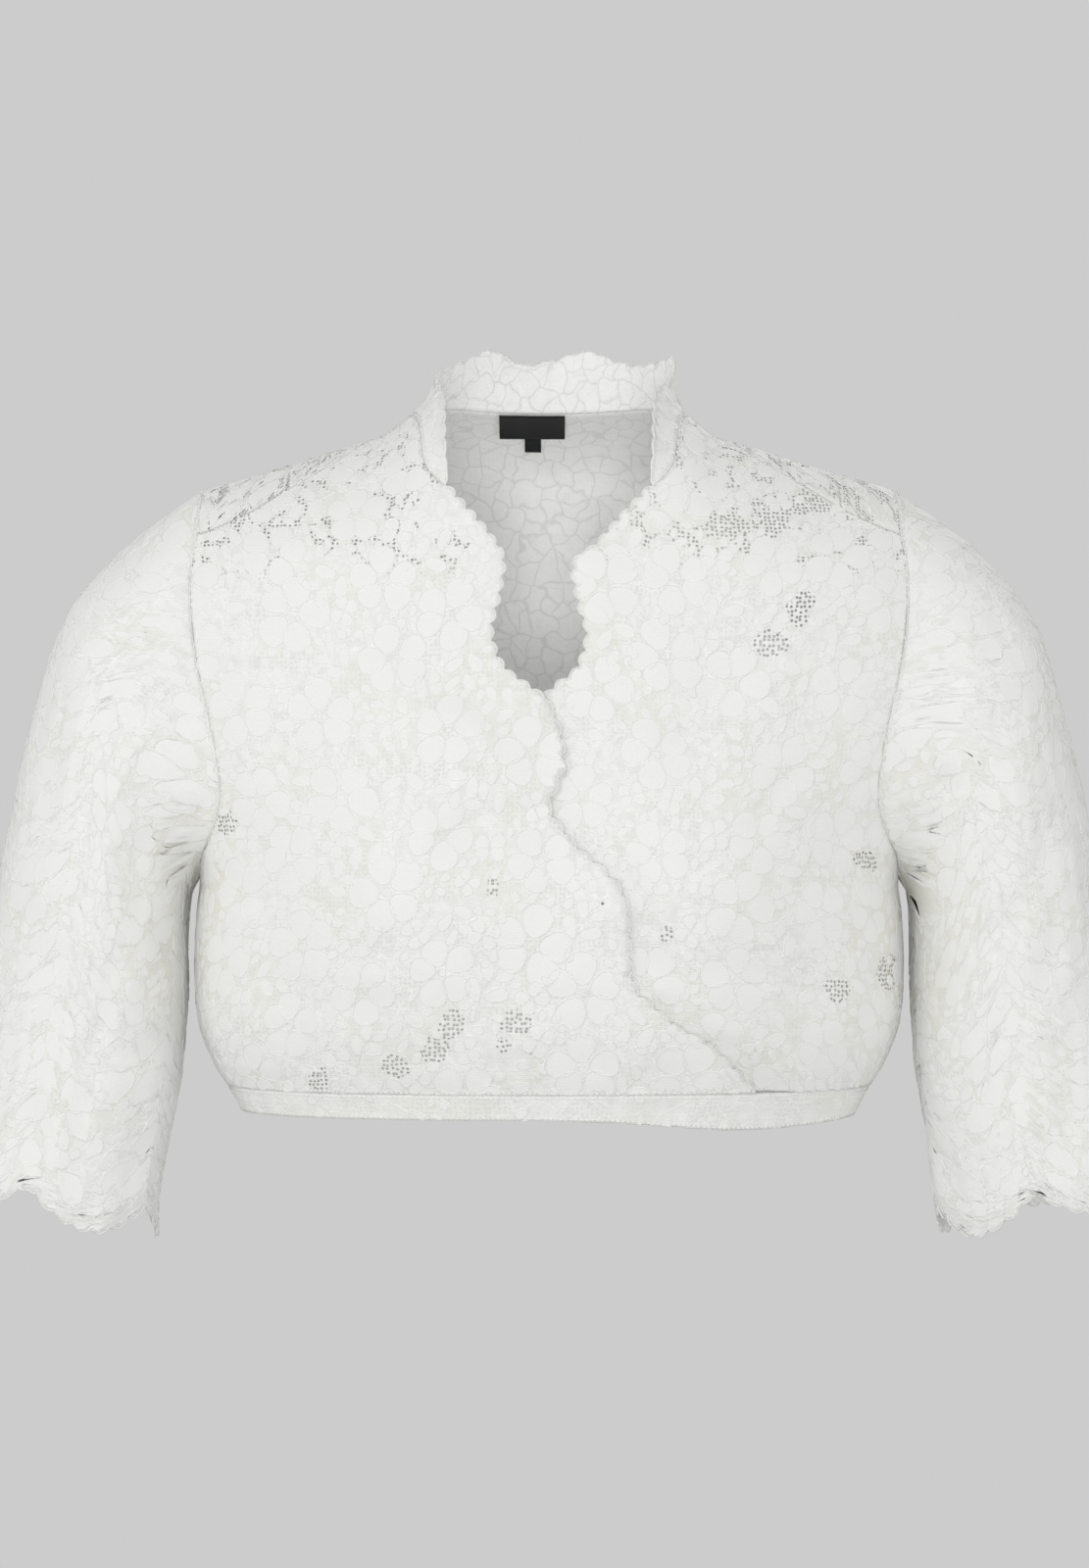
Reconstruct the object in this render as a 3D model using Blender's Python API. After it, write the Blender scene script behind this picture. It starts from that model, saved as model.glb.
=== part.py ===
"""Dirndl blouse of cream floral lace, short in the body, filled out as it is worn.

Two wrapped fronts, a back that laps forward over the shoulders, set-in elbow sleeves with
scalloped hems, a scalloped standing collar, a narrow band round the hem, a lining behind each
front, and a bare woven label with its size tab.

Lengths are in millimetres until the meshes are made. +X is the viewer's right, the front faces -Y,
and the origin lies midway between the neck points, where the wearer's shoulders hold the blouse.
Each piece is one sheet of cloth on the blouse's form, given a wall on its inner side.
"""
import math
from collections import namedtuple

import bpy
from mathutils import Vector, bvhtree, kdtree

MM = 0.001

# Cloth
LACE_WALL = 1.5
LINING_WALL = 1.0
LABEL_WALL = 0.6
SEAM_GAP = 0.36
LAYER_GAP = 0.4
FLUSH = 1e-6          # depth below which a piece's edge counts as level with its neighbour's
SMOOTH_SEAM = 0.2     # cosine of the sharpest turn that a wall follows across a seam
UNDERLAP_GAP = 1.8
UNDERARM_GAP = 1.2    # where a sleeve lies back along the body
LABEL_GAP = 0.5

# Form of the body
SQUARENESS = 2.3
FRONT_ROLL = 70.0
BACK_ROLL = 45.0
BUST_OUT, BUST_LEVEL, BUST_RISE, BUST_WIDE, BUST_TALL = 88.0, -236.0, 15.0, 40.0, 46.0
BLADE_OUT, BLADE_LEVEL, BLADE_RISE, BLADE_WIDE, BLADE_TALL = 85.0, -105.0, 5.0, 45.0, 55.0

# Hem
BAND_TOP = -353.0
BAND_BOTTOM = -366.5
BAND_DIP, BAND_DIP_AT, BAND_DIP_WIDE = 6.0, 112.0, 62.0

# Scallops of the lace edge
SCALLOP_DEPTH = 2.6
SCALLOP_STEPS = 3
EDGE_STEPS = 6

# Sleeve hem
HEM_LOBES = 5
HEM_LOBE_DEPTH = 17.0
HEM_LOBE_PHASE = {"right": math.radians(78), "left": math.radians(98)}
HEM_SCALLOP_DEPTH = 2.8

# Mesh steps
FRONT_COLUMNS = 11
EDGE_ROWS = {"lap": 12, "neck": 8, "collar": 4}
SIDE_ROWS = 6
BACK_ROWS = 22
NECK_COLUMNS = 4
OVER_ROWS = 3
COLLAR_FROM = EDGE_ROWS["lap"] + EDGE_ROWS["neck"]
SLEEVE_ROWS = 17
COLLAR_ROWS = 4
LINING_ROWS = 17

# Level, half width, depth in front and depth behind of the body
Section = namedtuple("Section", "level half_width front back")
BODY = [
    Section(-380, 160, 88, 76),
    Section(-368, 165, 91, 79),
    Section(-353, 173, 96, 83),
    Section(-340, 181, 102, 86),
    Section(-318, 189, 109, 90),
    Section(-290, 191, 113, 94),
    Section(-262, 190, 114, 98),
    Section(-240, 188, 113, 101),
    Section(-212, 194, 110, 104),
    Section(-180, 208, 104, 105),
    Section(-146, 217, 97, 105),
    Section(-80, 222, 85, 102),
    Section(-34, 222, 73, 98),
    Section(0, 222, 67, 96),
    Section(30, 222, 63, 95),
]

# Top line of the shoulder, and how far below it the shoulder seam runs on the front
Shoulder = namedtuple("Shoulder", "out level seam_drop")
SHOULDER = [
    Shoulder(0, 24, 0.6),
    Shoulder(45, 21, 0.6),
    Shoulder(60, 17, 0.6),
    Shoulder(70, 12, 0.6),
    Shoulder(78, 5.5, 0.6),
    Shoulder(87, -1.5, 0.8),
    Shoulder(98, -5.6, 1.6),
    Shoulder(112, -10, 7),
    Shoulder(137, -18, 14.5),
    Shoulder(161, -25, 22),
    Shoulder(188, -32.5, 25.5),
    Shoulder(230, -44, 26),
]

# Edges seen from the front
Spot = namedtuple("Spot", "x level")
NECK_SIDE = 74.0
ARM_TOP = 186.0
UNDERARM = Spot(188, -240)
RIGHT_LAP = [
    Spot(108, -353), Spot(82, -326), Spot(66, -317), Spot(54, -307), Spot(43, -296),
    Spot(41, -280), Spot(38, -250), Spot(27, -235), Spot(14, -224), Spot(5, -213),
    Spot(-1, -202), Spot(6, -184), Spot(5, -165), Spot(-2, -146),
]
RIGHT_NECK = [
    Spot(-2, -146), Spot(-11, -140), Spot(-25, -129), Spot(-31, -111), Spot(-27, -92),
    Spot(-25, -72), Spot(-33, -59), Spot(-45, -45), Spot(-54.5, -34),
]
LEFT_LAP = [
    Spot(-86, -353), Spot(-70, -310), Spot(-52, -260), Spot(-34, -210), Spot(-16, -172),
    Spot(-4, -147),
]
LEFT_NECK = [
    Spot(-4, -147), Spot(6, -138), Spot(15, -131), Spot(20.5, -113), Spot(16, -95),
    Spot(14, -75), Spot(27, -64), Spot(40, -49), Spot(54.5, -34),
]
COLLAR_SEAM = [Spot(54.5, -34), Spot(65, -23), Spot(68, -8), Spot(70, 4), Spot(NECK_SIDE, 8.4)]
ARMHOLE_FRONT = [
    UNDERARM, Spot(186, -230), Spot(180, -219), Spot(175, -205), Spot(174, -188),
    Spot(179, -160), Spot(186, -130), Spot(190, -100), Spot(190, -76), Spot(188, -58),
]
ARMHOLE_BACK = [
    UNDERARM, Spot(186.5, -230), Spot(182, -219), Spot(178, -205), Spot(177, -182), Spot(178, -150),
    Spot(180, -115), Spot(183, -80), Spot(186, -52), Spot(ARM_TOP, -32),
]

# Sleeve: its silhouettes, half depth and how far it hangs forward, from armhole to hem
Ring = namedtuple("Ring", "share outer_x outer_level inner_x inner_level half_depth forward")
SLEEVE = [
    Ring(0.00, 186, -32, 188, -240, 60, 0),
    Ring(0.10, 214, -50, 193, -248, 63, 0),
    Ring(0.20, 248, -77, 194.5, -258, 65, 1),
    Ring(0.30, 264, -107, 195, -273, 65, 2),
    Ring(0.44, 278, -156, 195, -294, 63, 4),
    Ring(0.59, 291, -214, 195.5, -318, 60, 6),
    Ring(0.73, 300, -270, 198, -345, 57, 8),
    Ring(0.86, 309, -328, 203, -379, 53, 10),
    Ring(1.00, 319, -393, 207, -416, 50, 12),
]
CAP_BLEND = 0.32
UNDERARM_BLEND = 0.12
HEM_BLEND = 0.25

# Top edge of the collar, from the right front round the back to the left front
Rim = namedtuple("Rim", "x y level")
COLLAR_TOP = [
    Rim(-54, -70, -30), Rim(-55.5, -66, -13), Rim(-56, -52, 2), Rim(-57, -36, 14),
    Rim(-60, -16, 23), Rim(-62, 2, 29), Rim(-58, 22, 34), Rim(-46, 42, 41),
    Rim(-31, 56, 48), Rim(-14, 62, 40.5), Rim(3, 63, 43.5), Rim(22, 61, 48),
    Rim(36, 54, 42), Rim(49, 41, 38), Rim(62, 20, 39), Rim(68, 3, 39),
    Rim(66, -9, 27), Rim(59, -22, 20), Rim(57, -36, 14), Rim(56, -52, 2),
    Rim(55.5, -66, -13), Rim(54, -70, -30),
]
BACK_NECK = [
    Spot(0, 14), Spot(18, 14), Spot(36, 14.6), Spot(52, 15), Spot(64, 13), Spot(NECK_SIDE, 9),
]

# Largest folds: a line on the front, its half width, and its height (below zero for a trough)
Fold = namedtuple("Fold", "x0 level0 x1 level1 spread height")
FRONT_FOLDS = [
    Fold(-66, -214, 24, -212, 15, -3.6),
    Fold(-118, -112, -2, -202, 15, 2.6),
    Fold(128, -104, 58, -180, 15, -2.2),
    Fold(38, -254, 68, -312, 15, -2.6),
    Fold(-152, -256, -128, -330, 15, -2.4),
    Fold(148, -246, 130, -326, 15, -2.4),
]
BACK_FOLDS = [
    Fold(-64, -270, 44, -286, 17, -3.0),
    Fold(-130, -145, -90, -255, 17, 2.4),
    Fold(122, -135, 96, -268, 17, 2.4),
    Fold(-34, -316, 100, -328, 14, 1.8),
]
SLEEVE_FOLDS = {
    "right": [
        Fold(226, -214, 197, -306, 10, -5.5),
        Fold(243, -115, 214, -186, 11, -2.6),
        Fold(270, -250, 214, -300, 10, 2.4),
    ],
    "left": [
        Fold(204, -252, 197, -336, 10, -5.5),
        Fold(216, -180, 205, -200, 8, -4.0),
        Fold(262, -150, 232, -226, 12, 2.6),
    ],
}

# Woven label on the back, below the collar seam
LABEL_LEFT, LABEL_RIGHT, LABEL_TOP, LABEL_BOTTOM = -27.5, 9.0, 11.2, 1.0
TAB_LEFT, TAB_RIGHT, TAB_BOTTOM = -13.5, -4.5, -6.0
LABEL_COLUMNS = 8

COLOURS = {
    "lace": (0.84, 0.83, 0.79),
    "lining": (0.86, 0.86, 0.84),
    "label": (0.012, 0.015, 0.014),
}
ROUGHNESS = {"lace": 0.85, "lining": 0.8, "label": 0.5}


def mix(a, b, share):
    return a + (b - a) * share


def ease(share):
    share = min(max(share, 0.0), 1.0)
    return share * share * (3 - 2 * share)


def read(rows, at):
    """The other columns of a table at a place in its first, on a smooth curve through the rows."""
    at = min(max(at, rows[0][0]), rows[-1][0])
    k = max(i for i in range(len(rows) - 1) if rows[i][0] <= at)
    low, high = rows[k], rows[k + 1]
    before, after = rows[max(k - 1, 0)], rows[min(k + 2, len(rows) - 1)]
    span = high[0] - low[0]
    t = (at - low[0]) / span
    values = []
    for c in range(1, len(low)):
        leave = (high[c] - before[c]) / (high[0] - before[0]) * span
        reach = (after[c] - low[c]) / (after[0] - low[0]) * span
        values.append((2 * t**3 - 3 * t**2 + 1) * low[c] + (t**3 - 2 * t**2 + t) * leave
                      + (3 * t**2 - 2 * t**3) * high[c] + (t**3 - t**2) * reach)
    return values


def through(points, samples=24):
    """A dense smooth line through points given as tuples of any length."""
    reach = [0.0]
    for a, b in zip(points, points[1:]):
        reach.append(reach[-1] + math.dist(a, b))
    rows = [(r, *p) for r, p in zip(reach, points)]
    count = samples * (len(points) - 1)
    return [read(rows, reach[-1] * i / count) for i in range(count + 1)]


def stations(points, steps, place):
    """Points that part a line into equal steps, measured where place() puts it in space."""
    line = through(points)
    spots = [place(*p) for p in line]
    reach = [0.0]
    for a, b in zip(spots, spots[1:]):
        reach.append(reach[-1] + (b - a).length)
    found = []
    k = 0
    for i in range(steps + 1):
        want = reach[-1] * i / steps
        while k < len(reach) - 2 and reach[k + 1] < want:
            k += 1
        share = (want - reach[k]) / (reach[k + 1] - reach[k])
        found.append([mix(a, b, share) for a, b in zip(line[k], line[k + 1])])
    return found


def shoulder_level(x):
    return read(SHOULDER, abs(x))[0]


def folds_at(folds, x, level):
    """Height of the folds at a spot, each fading to its ends and its sides."""
    height = 0.0
    for fold in folds:
        run = Vector((fold.x1 - fold.x0, fold.level1 - fold.level0))
        way = Vector((x - fold.x0, level - fold.level0))
        share = way.dot(run) / run.length_squared
        if 0 < share < 1:
            off = (way - run * share).length / fold.spread
            height += fold.height * math.sin(math.pi * share) ** 0.7 * math.exp(-off * off)
    return height


def swell(x, level, out, at, rise, wide, tall):
    return rise * math.exp(-((abs(x) - out) / wide) ** 2 / 2 - ((level - at) / tall) ** 2 / 2)


def body(x, level, back=False):
    """The point of the body's form at a spot seen from the front, or from behind."""
    half_width, front, rear = read(BODY, level)
    side = max(0.0, 1 - abs(x / half_width) ** SQUARENESS) ** (1 / SQUARENESS)
    drop = min(max((shoulder_level(x) - level) / (BACK_ROLL if back else FRONT_ROLL), 0.0), 1.0)
    roll = math.sqrt(1 - (1 - drop) ** 2)
    if back:
        relief = swell(x, level, BLADE_OUT, BLADE_LEVEL, BLADE_RISE, BLADE_WIDE, BLADE_TALL)
        relief += folds_at(BACK_FOLDS, x, level)
        return Vector((x, rear * side * roll + relief * side, level))
    relief = swell(x, level, BUST_OUT, BUST_LEVEL, BUST_RISE, BUST_WIDE, BUST_TALL)
    relief += folds_at(FRONT_FOLDS, x, level)
    return Vector((x, -front * side * roll - relief * side, level))


def turn(x, level):
    """Angle round the body of a spot, a quarter turn at its side."""
    share = min(abs(x) / read(BODY, level)[0], 1.0)
    return math.copysign(math.asin(share ** (SQUARENESS / 2)), x)


def unturn(angle, level):
    out = abs(math.sin(angle)) ** (2 / SQUARENESS)
    return math.copysign(read(BODY, level)[0] * out, angle)


def patch(bottom, top, inner, outer, back=False):
    """Grid of points between four edges, each a list of spots seen from the front."""
    def corner(spots):
        return [Vector((turn(x, level), level)) for x, level in spots]

    low, high, near, far = corner(bottom), corner(top), corner(inner), corner(outer)
    rows, columns = len(near) - 1, len(low) - 1
    grid = []
    for j in range(rows + 1):
        v = j / rows
        line = []
        for i in range(columns + 1):
            u = i / columns
            spot = low[i] * (1 - v) + high[i] * v + near[j] * (1 - u) + far[j] * u
            spot -= (low[0] * (1 - u) + low[-1] * u) * (1 - v)
            spot -= (high[0] * (1 - u) + high[-1] * u) * v
            line.append(body(unturn(spot.x, spot.y), spot.y, back))
        grid.append(line)
    return grid


def scalloped(spots, steps, depth, outward):
    """Spots along an edge with small arcs that stand out of it, and the steps between them."""
    edge = []
    for i, (x, level) in enumerate(spots):
        a, b = spots[max(i - 1, 0)], spots[min(i + 1, len(spots) - 1)]
        run = Vector((b[0] - a[0], b[1] - a[1])).normalized()
        out = depth * math.sin(math.pi * (i % steps) / steps)
        edge.append((x + run.y * out * outward, level - run.x * out * outward))
    return edge


class Sheet:
    """One piece of cloth: points and faces, seen from outside, before it gets its wall.

    A sheet that lies behind another one takes its points, and its wall runs square to the same cloth.
    """

    def __init__(self, name, colour, wall=LACE_WALL, behind=None):
        self.name, self.colour, self.wall, self.behind = name, colour, wall, behind
        self.points, self.faces, self.depths, self.known = [], [], [], {}

    def add(self, point, depth=0.0):
        key = tuple(round(c, 4) for c in point)
        if key not in self.known:
            self.known[key] = len(self.points)
            self.points.append(point)
            self.depths.append(depth)
        return self.known[key]

    def cell(self, low, high, rise, flip):
        """Triangles over a cell from its far corners to the points up its near side."""
        turn = len(rise) // 2
        corners = [(rise[k], low, rise[k + 1]) for k in range(turn)] + [(rise[turn], low, high)]
        corners += [(rise[k], high, rise[k + 1]) for k in range(turn, len(rise) - 1)]
        self.faces += [list(c[::-1] if flip else c) for c in corners if len(set(c)) == 3]

    def add_grid(self, grid, flip=False, depths=None, edge=None):
        """Faces over a grid. An edge, where given, has the points between rows of column 0."""
        index = [[self.add(p, depths[j][i] if depths else 0.0) for i, p in enumerate(row)]
                 for j, row in enumerate(grid)]
        for j in range(len(grid) - 1):
            for i in range(len(grid[0]) - 1):
                between = edge[j] if edge and i == 0 else []
                rise = [index[j][i]] + [self.add(p, depths[j][0]) for p in between] + [index[j + 1][i]]
                self.cell(index[j][i + 1], index[j + 1][i + 1], rise, flip)

    def normals(self):
        found = [Vector() for _ in self.points]
        for face in self.faces:
            a = self.points[face[0]]
            area = Vector()
            for b, c in zip(face[1:], face[2:]):
                area += (self.points[b] - a).cross(self.points[c] - a)
            for corner in face:
                found[corner] += area
        return [n.normalized() for n in found]

    def rim(self):
        """Edges that only one face uses, in that face's order."""
        used = {(a, b) for face in self.faces for a, b in zip(face, face[1:] + face[:1])}
        return [(a, b) for a, b in used if (b, a) not in used]


def drawn_in(grid, left=True, right=True, low=True, high=True):
    """A grid whose edges are drawn back from the seams by half the gap."""
    rows, columns = len(grid) - 1, len(grid[0]) - 1
    result = [list(row) for row in grid]
    for j in range(rows + 1):
        for i in range(columns + 1):
            dj = (j == 0 and low) - (j == rows and high)
            di = (i == 0 and left) - (i == columns and right)
            for across, up in ((di, 0), (0, dj)):
                if across or up:
                    way = grid[j + up][i + across] - grid[j][i]
                    result[j][i] = result[j][i] + way.normalized() * SEAM_GAP / 2
    return result


def front_edge(lap, neck, outward, lap_scallops):
    """The free edge and collar seam of a front: its row ends, and the points between them."""
    side = -outward
    seam = [Spot(side * s.x, s.level) for s in COLLAR_SEAM]
    lap_line = stations(lap, EDGE_ROWS["lap"] * EDGE_STEPS, body)
    neck_line = stations(neck, EDGE_ROWS["neck"] * EDGE_STEPS, body)
    if lap_scallops:
        free = scalloped(lap_line + neck_line[1:], SCALLOP_STEPS, SCALLOP_DEPTH, outward)
    else:
        free = lap_line + scalloped(neck_line, SCALLOP_STEPS, SCALLOP_DEPTH, outward)[1:]
    ends = free[::EDGE_STEPS] + stations(seam, EDGE_ROWS["collar"], body)[1:]
    between = [free[k + 1:k + EDGE_STEPS] for k in range(0, len(free) - 1, EDGE_STEPS)]
    between += [[] for _ in range(EDGE_ROWS["collar"])]
    return ends, between


def side_seam(side):
    """Spots up the side seam, from the hem band to just below the underarm."""
    levels = [mix(BAND_TOP, UNDERARM.level, j / SIDE_ROWS) for j in range(SIDE_ROWS)]
    return [Spot(side * read(BODY, level)[0], level) for level in levels]


def shoulder_spots(side, ahead):
    """Spots along the shoulder, from its top line (ahead 0) to the shoulder seam on the front (1)."""
    spots = []
    for i in range(FRONT_COLUMNS + 1):
        x = mix(NECK_SIDE, mix(ARM_TOP, ARMHOLE_FRONT[-1].x, ahead), i / FRONT_COLUMNS)
        level, drop = read(SHOULDER, x)
        spots.append((side * x, level - drop * ahead * ahead))
    return spots


def front_grid(side, lap, neck, lap_scallops):
    """Grid of a front on one side (-1 or 1 in X), from its free edge to its side and armhole."""
    ends, between = front_edge(lap, neck, -side, lap_scallops)
    armhole = [Spot(side * s.x, s.level) for s in ARMHOLE_FRONT]
    outer = side_seam(side) + stations(armhole, len(ends) - 1 - SIDE_ROWS, body)
    shares = [i / FRONT_COLUMNS for i in range(FRONT_COLUMNS + 1)]
    hem = [(unturn(mix(turn(*ends[0]), turn(*outer[0]), u), BAND_TOP), BAND_TOP) for u in shares]
    top = shoulder_spots(side, 1.0)
    ends[-1], outer[-1] = top[0], top[-1]
    grid = patch(hem, top, ends, outer)
    edge = [[body(x, level) for x, level in run] for run in between]
    return grid, edge


def underlap(x, level):
    """How deep the left front and its lining lie below the right front, over and near its edge."""
    line = [(s.level, s.x) for s in RIGHT_LAP]
    edge = read(line, level)[0]
    fade_up = ease((RIGHT_NECK[1].level + 22 - level) / 34)
    return (LACE_WALL + LINING_WALL + LAYER_GAP + UNDERLAP_GAP) * ease((edge + 44 - x) / 40) * fade_up


def behind(x, level):
    return body(x, level, back=True)


def back_grid():
    """Grid of the back from side to side, up to the collar seam and the tops of the shoulders."""
    outer = side_seam(1) + stations(ARMHOLE_BACK, BACK_ROWS - SIDE_ROWS, behind)
    centre = stations([Spot(0, BAND_TOP), Spot(0, -180), BACK_NECK[0]], BACK_ROWS, behind)
    top = stations(BACK_NECK, NECK_COLUMNS, behind)[:-1] + shoulder_spots(1, 0.0)
    outer[-1] = top[-1]
    columns = len(top) - 1
    hem = [(unturn(turn(*outer[0]) * i / columns, BAND_TOP), BAND_TOP) for i in range(columns + 1)]
    half = patch(hem, top, centre, outer, back=True)
    return [[Vector((-p.x, p.y, p.z)) for p in reversed(row[1:])] + row for row in half]


def over_shoulder(side):
    """Rows that carry the back forward from the shoulder's top to the shoulder seam."""
    shares = [k / OVER_ROWS for k in range(OVER_ROWS + 1)]
    return [[body(x, level) for x, level in shoulder_spots(side, ahead)] for ahead in shares]


def armhole_loop(side, front, over, back):
    """The armhole from underarm to underarm, up the front: its points, and their neighbours inside."""
    rows = [row[::-1] for row in front[SIDE_ROWS:-1]] + [row[::-1] for row in over[:0:-1]]
    rows += [row if side < 0 else row[::-1] for row in back[:SIDE_ROWS:-1]]
    return [(row[0], row[1]) for row in rows]


def sleeve_start(loop, ring):
    """The sleeve's first ring: the armhole's points, moved clear of the body the way the sleeve leaves."""
    count = len(loop)
    start = []
    for k, (edge, inside) in enumerate(loop):
        out = (edge - inside).normalized()
        along = loop[(k + 1) % count][0] - loop[k - 1][0]
        square = out.cross(along).normalized()
        square *= math.copysign(1, square.dot(Vector((edge.x, edge.y, 0))))
        folded = (1 - out.dot((ring[k] - edge).normalized())) / 2
        start.append(edge + out * SEAM_GAP / 2 * (1 - folded) + square * UNDERARM_GAP * folded)
    return start


def sleeve_grid(side, loop, folds, phase):
    """Rings of a sleeve from the armhole's loop of points to its lobed hem."""
    pairs, loop = loop, [edge for edge, _ in loop]
    count = len(loop)
    top = max(range(count), key=lambda k: loop[k].z)
    reach = [0.0]
    for k in range(count):
        reach.append(reach[-1] + (loop[(k + 1) % count] - loop[k]).length)
    angles = []
    for k in range(count):
        if k <= top:
            angles.append(math.pi * (1 - reach[k] / reach[top]))
        else:
            angles.append(-math.pi * (reach[k] - reach[top]) / (reach[-1] - reach[top]))
    grid = []
    for j in range(SLEEVE_ROWS + 1):
        share = j / SLEEVE_ROWS
        outer_x, outer_level, inner_x, inner_level, half_depth, forward = read(SLEEVE, share)
        outer, inner = Vector((outer_x, 0, outer_level)), Vector((inner_x, 0, inner_level))
        centre = (outer + inner) / 2 + Vector((0, -forward, 0))
        down = Vector((-(outer - inner).z, 0, (outer - inner).x)).normalized()
        down = -down if down.z > 0 else down
        ring = []
        for k, angle in enumerate(angles):
            settle = ease(share / mix(UNDERARM_BLEND, CAP_BLEND, (1 + math.cos(angle)) / 2))
            point = centre + (outer - inner) / 2 * math.cos(angle)
            point.y -= half_depth * math.sin(angle)
            start = Vector((loop[k].x * side, loop[k].y, loop[k].z))
            point = start * (1 - settle) + point * settle
            sink = folds_at(folds, point.x, point.z) * settle * abs(math.sin(angle)) ** 0.5
            point.y -= math.copysign(sink, math.sin(angle))
            lobe = abs(math.sin(HEM_LOBES / 2 * (angle - phase)))
            point += down * HEM_LOBE_DEPTH * lobe * ease((share - 1 + HEM_BLEND) / HEM_BLEND)
            ring.append(Vector((point.x * side, point.y, point.z)))
        grid.append(ring)
    grid[0] = sleeve_start(pairs, grid[1])
    return grid


def sleeve_sheet(name, side, loop, folds, phase):
    """A sleeve: a closed tube of rings, with scallops on the points of its hem."""
    grid = sleeve_grid(side, loop, folds, phase)
    count = len(loop)
    sheet = Sheet(name, "lace")
    last = grid[-1]
    hem = []
    for k in range(count):
        a, b = last[k], last[(k + 1) % count]
        fall = (a - grid[-2][k]).normalized()
        for step in range(2):
            place = (2 * k + step) % SCALLOP_STEPS
            drop = HEM_SCALLOP_DEPTH * math.sin(math.pi * place / SCALLOP_STEPS)
            hem.append(a.lerp(b, step / 2) + fall * drop)
    flip = side > 0
    index = [[sheet.add(p) for p in ring] for ring in grid[:-1]]
    rim = [sheet.add(p) for p in hem]
    for j in range(len(index) - 1):
        for k in range(count):
            rise = [index[j][k], index[j][(k + 1) % count]]
            sheet.cell(index[j + 1][k], index[j + 1][(k + 1) % count], rise, not flip)
    for k in range(count):
        run = [rim[(2 * k + step) % (2 * count)] for step in range(3)]
        sheet.cell(index[-1][k], index[-1][(k + 1) % count], run, flip)
    return sheet


def collar_sheet(base):
    """The standing collar between its seam and its waved top edge."""
    line = [Vector(p) for p in base]
    reach = [0.0]
    for a, b in zip(line, line[1:]):
        reach.append(reach[-1] + (b - a).length)
    top_line = through(COLLAR_TOP)
    top_reach = [0.0]
    for a, b in zip(top_line, top_line[1:]):
        top_reach.append(top_reach[-1] + math.dist(a, b))
    grid = [[] for _ in range(COLLAR_ROWS + 1)]
    for k, low in enumerate(line):
        want = top_reach[-1] * reach[k] / reach[-1]
        spot = next(i for i, r in enumerate(top_reach) if r >= want - 1e-6)
        high = Vector(top_line[spot])
        out = Vector((low.x, low.y, 0)).normalized()
        for j in range(COLLAR_ROWS + 1):
            share = j / COLLAR_ROWS
            bow = 2.2 * math.sin(math.pi * share) * min((high - low).length / 25, 1.0)
            grid[j].append(low.lerp(high, share) - out * bow)
    sheet = Sheet("collar", "lace")
    sheet.add_grid(drawn_in(grid, left=False, right=False, high=False))
    return sheet


def band_sheet(name, back):
    """Half of the narrow band round the hem, from side seam to side seam."""
    columns, rows = 24, 2
    grid = []
    for j in range(rows + 1):
        row = []
        for i in range(columns + 1):
            angle = mix(-math.pi / 2, math.pi / 2, i / columns)
            x = unturn(angle, BAND_TOP)
            dip = BAND_DIP * math.exp(-((x - BAND_DIP_AT) / BAND_DIP_WIDE) ** 2) * (not back)
            level = mix(BAND_BOTTOM - dip, BAND_TOP, j / rows)
            row.append(body(unturn(angle, level), level, back))
        grid.append(row)
    sheet = Sheet(name, "lace")
    sheet.add_grid(drawn_in(grid, low=False), flip=back)
    return sheet


def label_sheet(name, carrier, left, right, top, bottom, rows):
    """A flat label that lies on the inside of the sheet that carries it."""
    cloth = bvhtree.BVHTree.FromPolygons(carrier.points, carrier.faces)
    grid = []
    for j in range(rows + 1):
        level = mix(bottom, top, j / rows)
        row = []
        for i in range(LABEL_COLUMNS + 1):
            eye = Vector((mix(left, right, i / LABEL_COLUMNS), 0, level))
            spot, square, _, _ = cloth.ray_cast(eye, Vector((0, 1, 0)))
            row.append(spot - square * (LACE_WALL + LABEL_GAP))
        grid.append(row)
    sheet = Sheet(name, "label", LABEL_WALL)
    sheet.add_grid(grid, flip=True)
    return sheet


def front_sheets(side, name, lap, neck, lap_scallops, under):
    """A front and the lining behind it, which shares its grid."""
    grid, edge = front_grid(side, lap, neck, lap_scallops)
    cut = drawn_in(grid, left=False)
    for j in range(COLLAR_FROM + 1, len(grid)):
        cut[j][0] += (grid[j][1] - grid[j][0]).normalized() * SEAM_GAP / 2
    depths = [[underlap(p.x, p.z) if under else 0.0 for p in row] for row in cut]
    lace = Sheet(f"front_{name}", "lace")
    lace.add_grid(cut, flip=side < 0, depths=depths, edge=edge)
    lining = Sheet(f"lining_{name}", "lining", LINING_WALL, behind=lace)
    sink = LACE_WALL + LAYER_GAP
    lining.add_grid([row[1:] for row in cut[:LINING_ROWS + 1]], flip=side < 0,
                    depths=[[depth + sink for depth in row[1:]] for row in depths])
    return grid, lace, lining


def back_sheet(grid, over):
    """The back, with its two parts that reach over the shoulders."""
    sheet = Sheet("back", "lace")
    cut = drawn_in(grid, high=False)
    centre = len(grid[0]) // 2
    for i in range(centre - NECK_COLUMNS, centre + NECK_COLUMNS + 1):
        cut[-1][i] = cut[-1][i] + (grid[-2][i] - grid[-1][i]).normalized() * SEAM_GAP / 2
    sheet.add_grid(cut, flip=True)
    for side in (-1, 1):
        rows = drawn_in(over[side], low=False)
        rows[0] = [cut[-1][centre + side * i] for i in range(NECK_COLUMNS, centre + 1)]
        sheet.add_grid(rows, flip=side > 0)
    return sheet


def cloth_material(name, colour):
    made = bpy.data.materials.new(name)
    made.use_nodes = True
    shader = made.node_tree.nodes["Principled BSDF"]
    shader.inputs["Base Color"].default_value = (*COLOURS[colour], 1)
    shader.inputs["Roughness"].default_value = ROUGHNESS[colour]
    shader.inputs["Metallic"].default_value = 0.0
    return made


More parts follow.
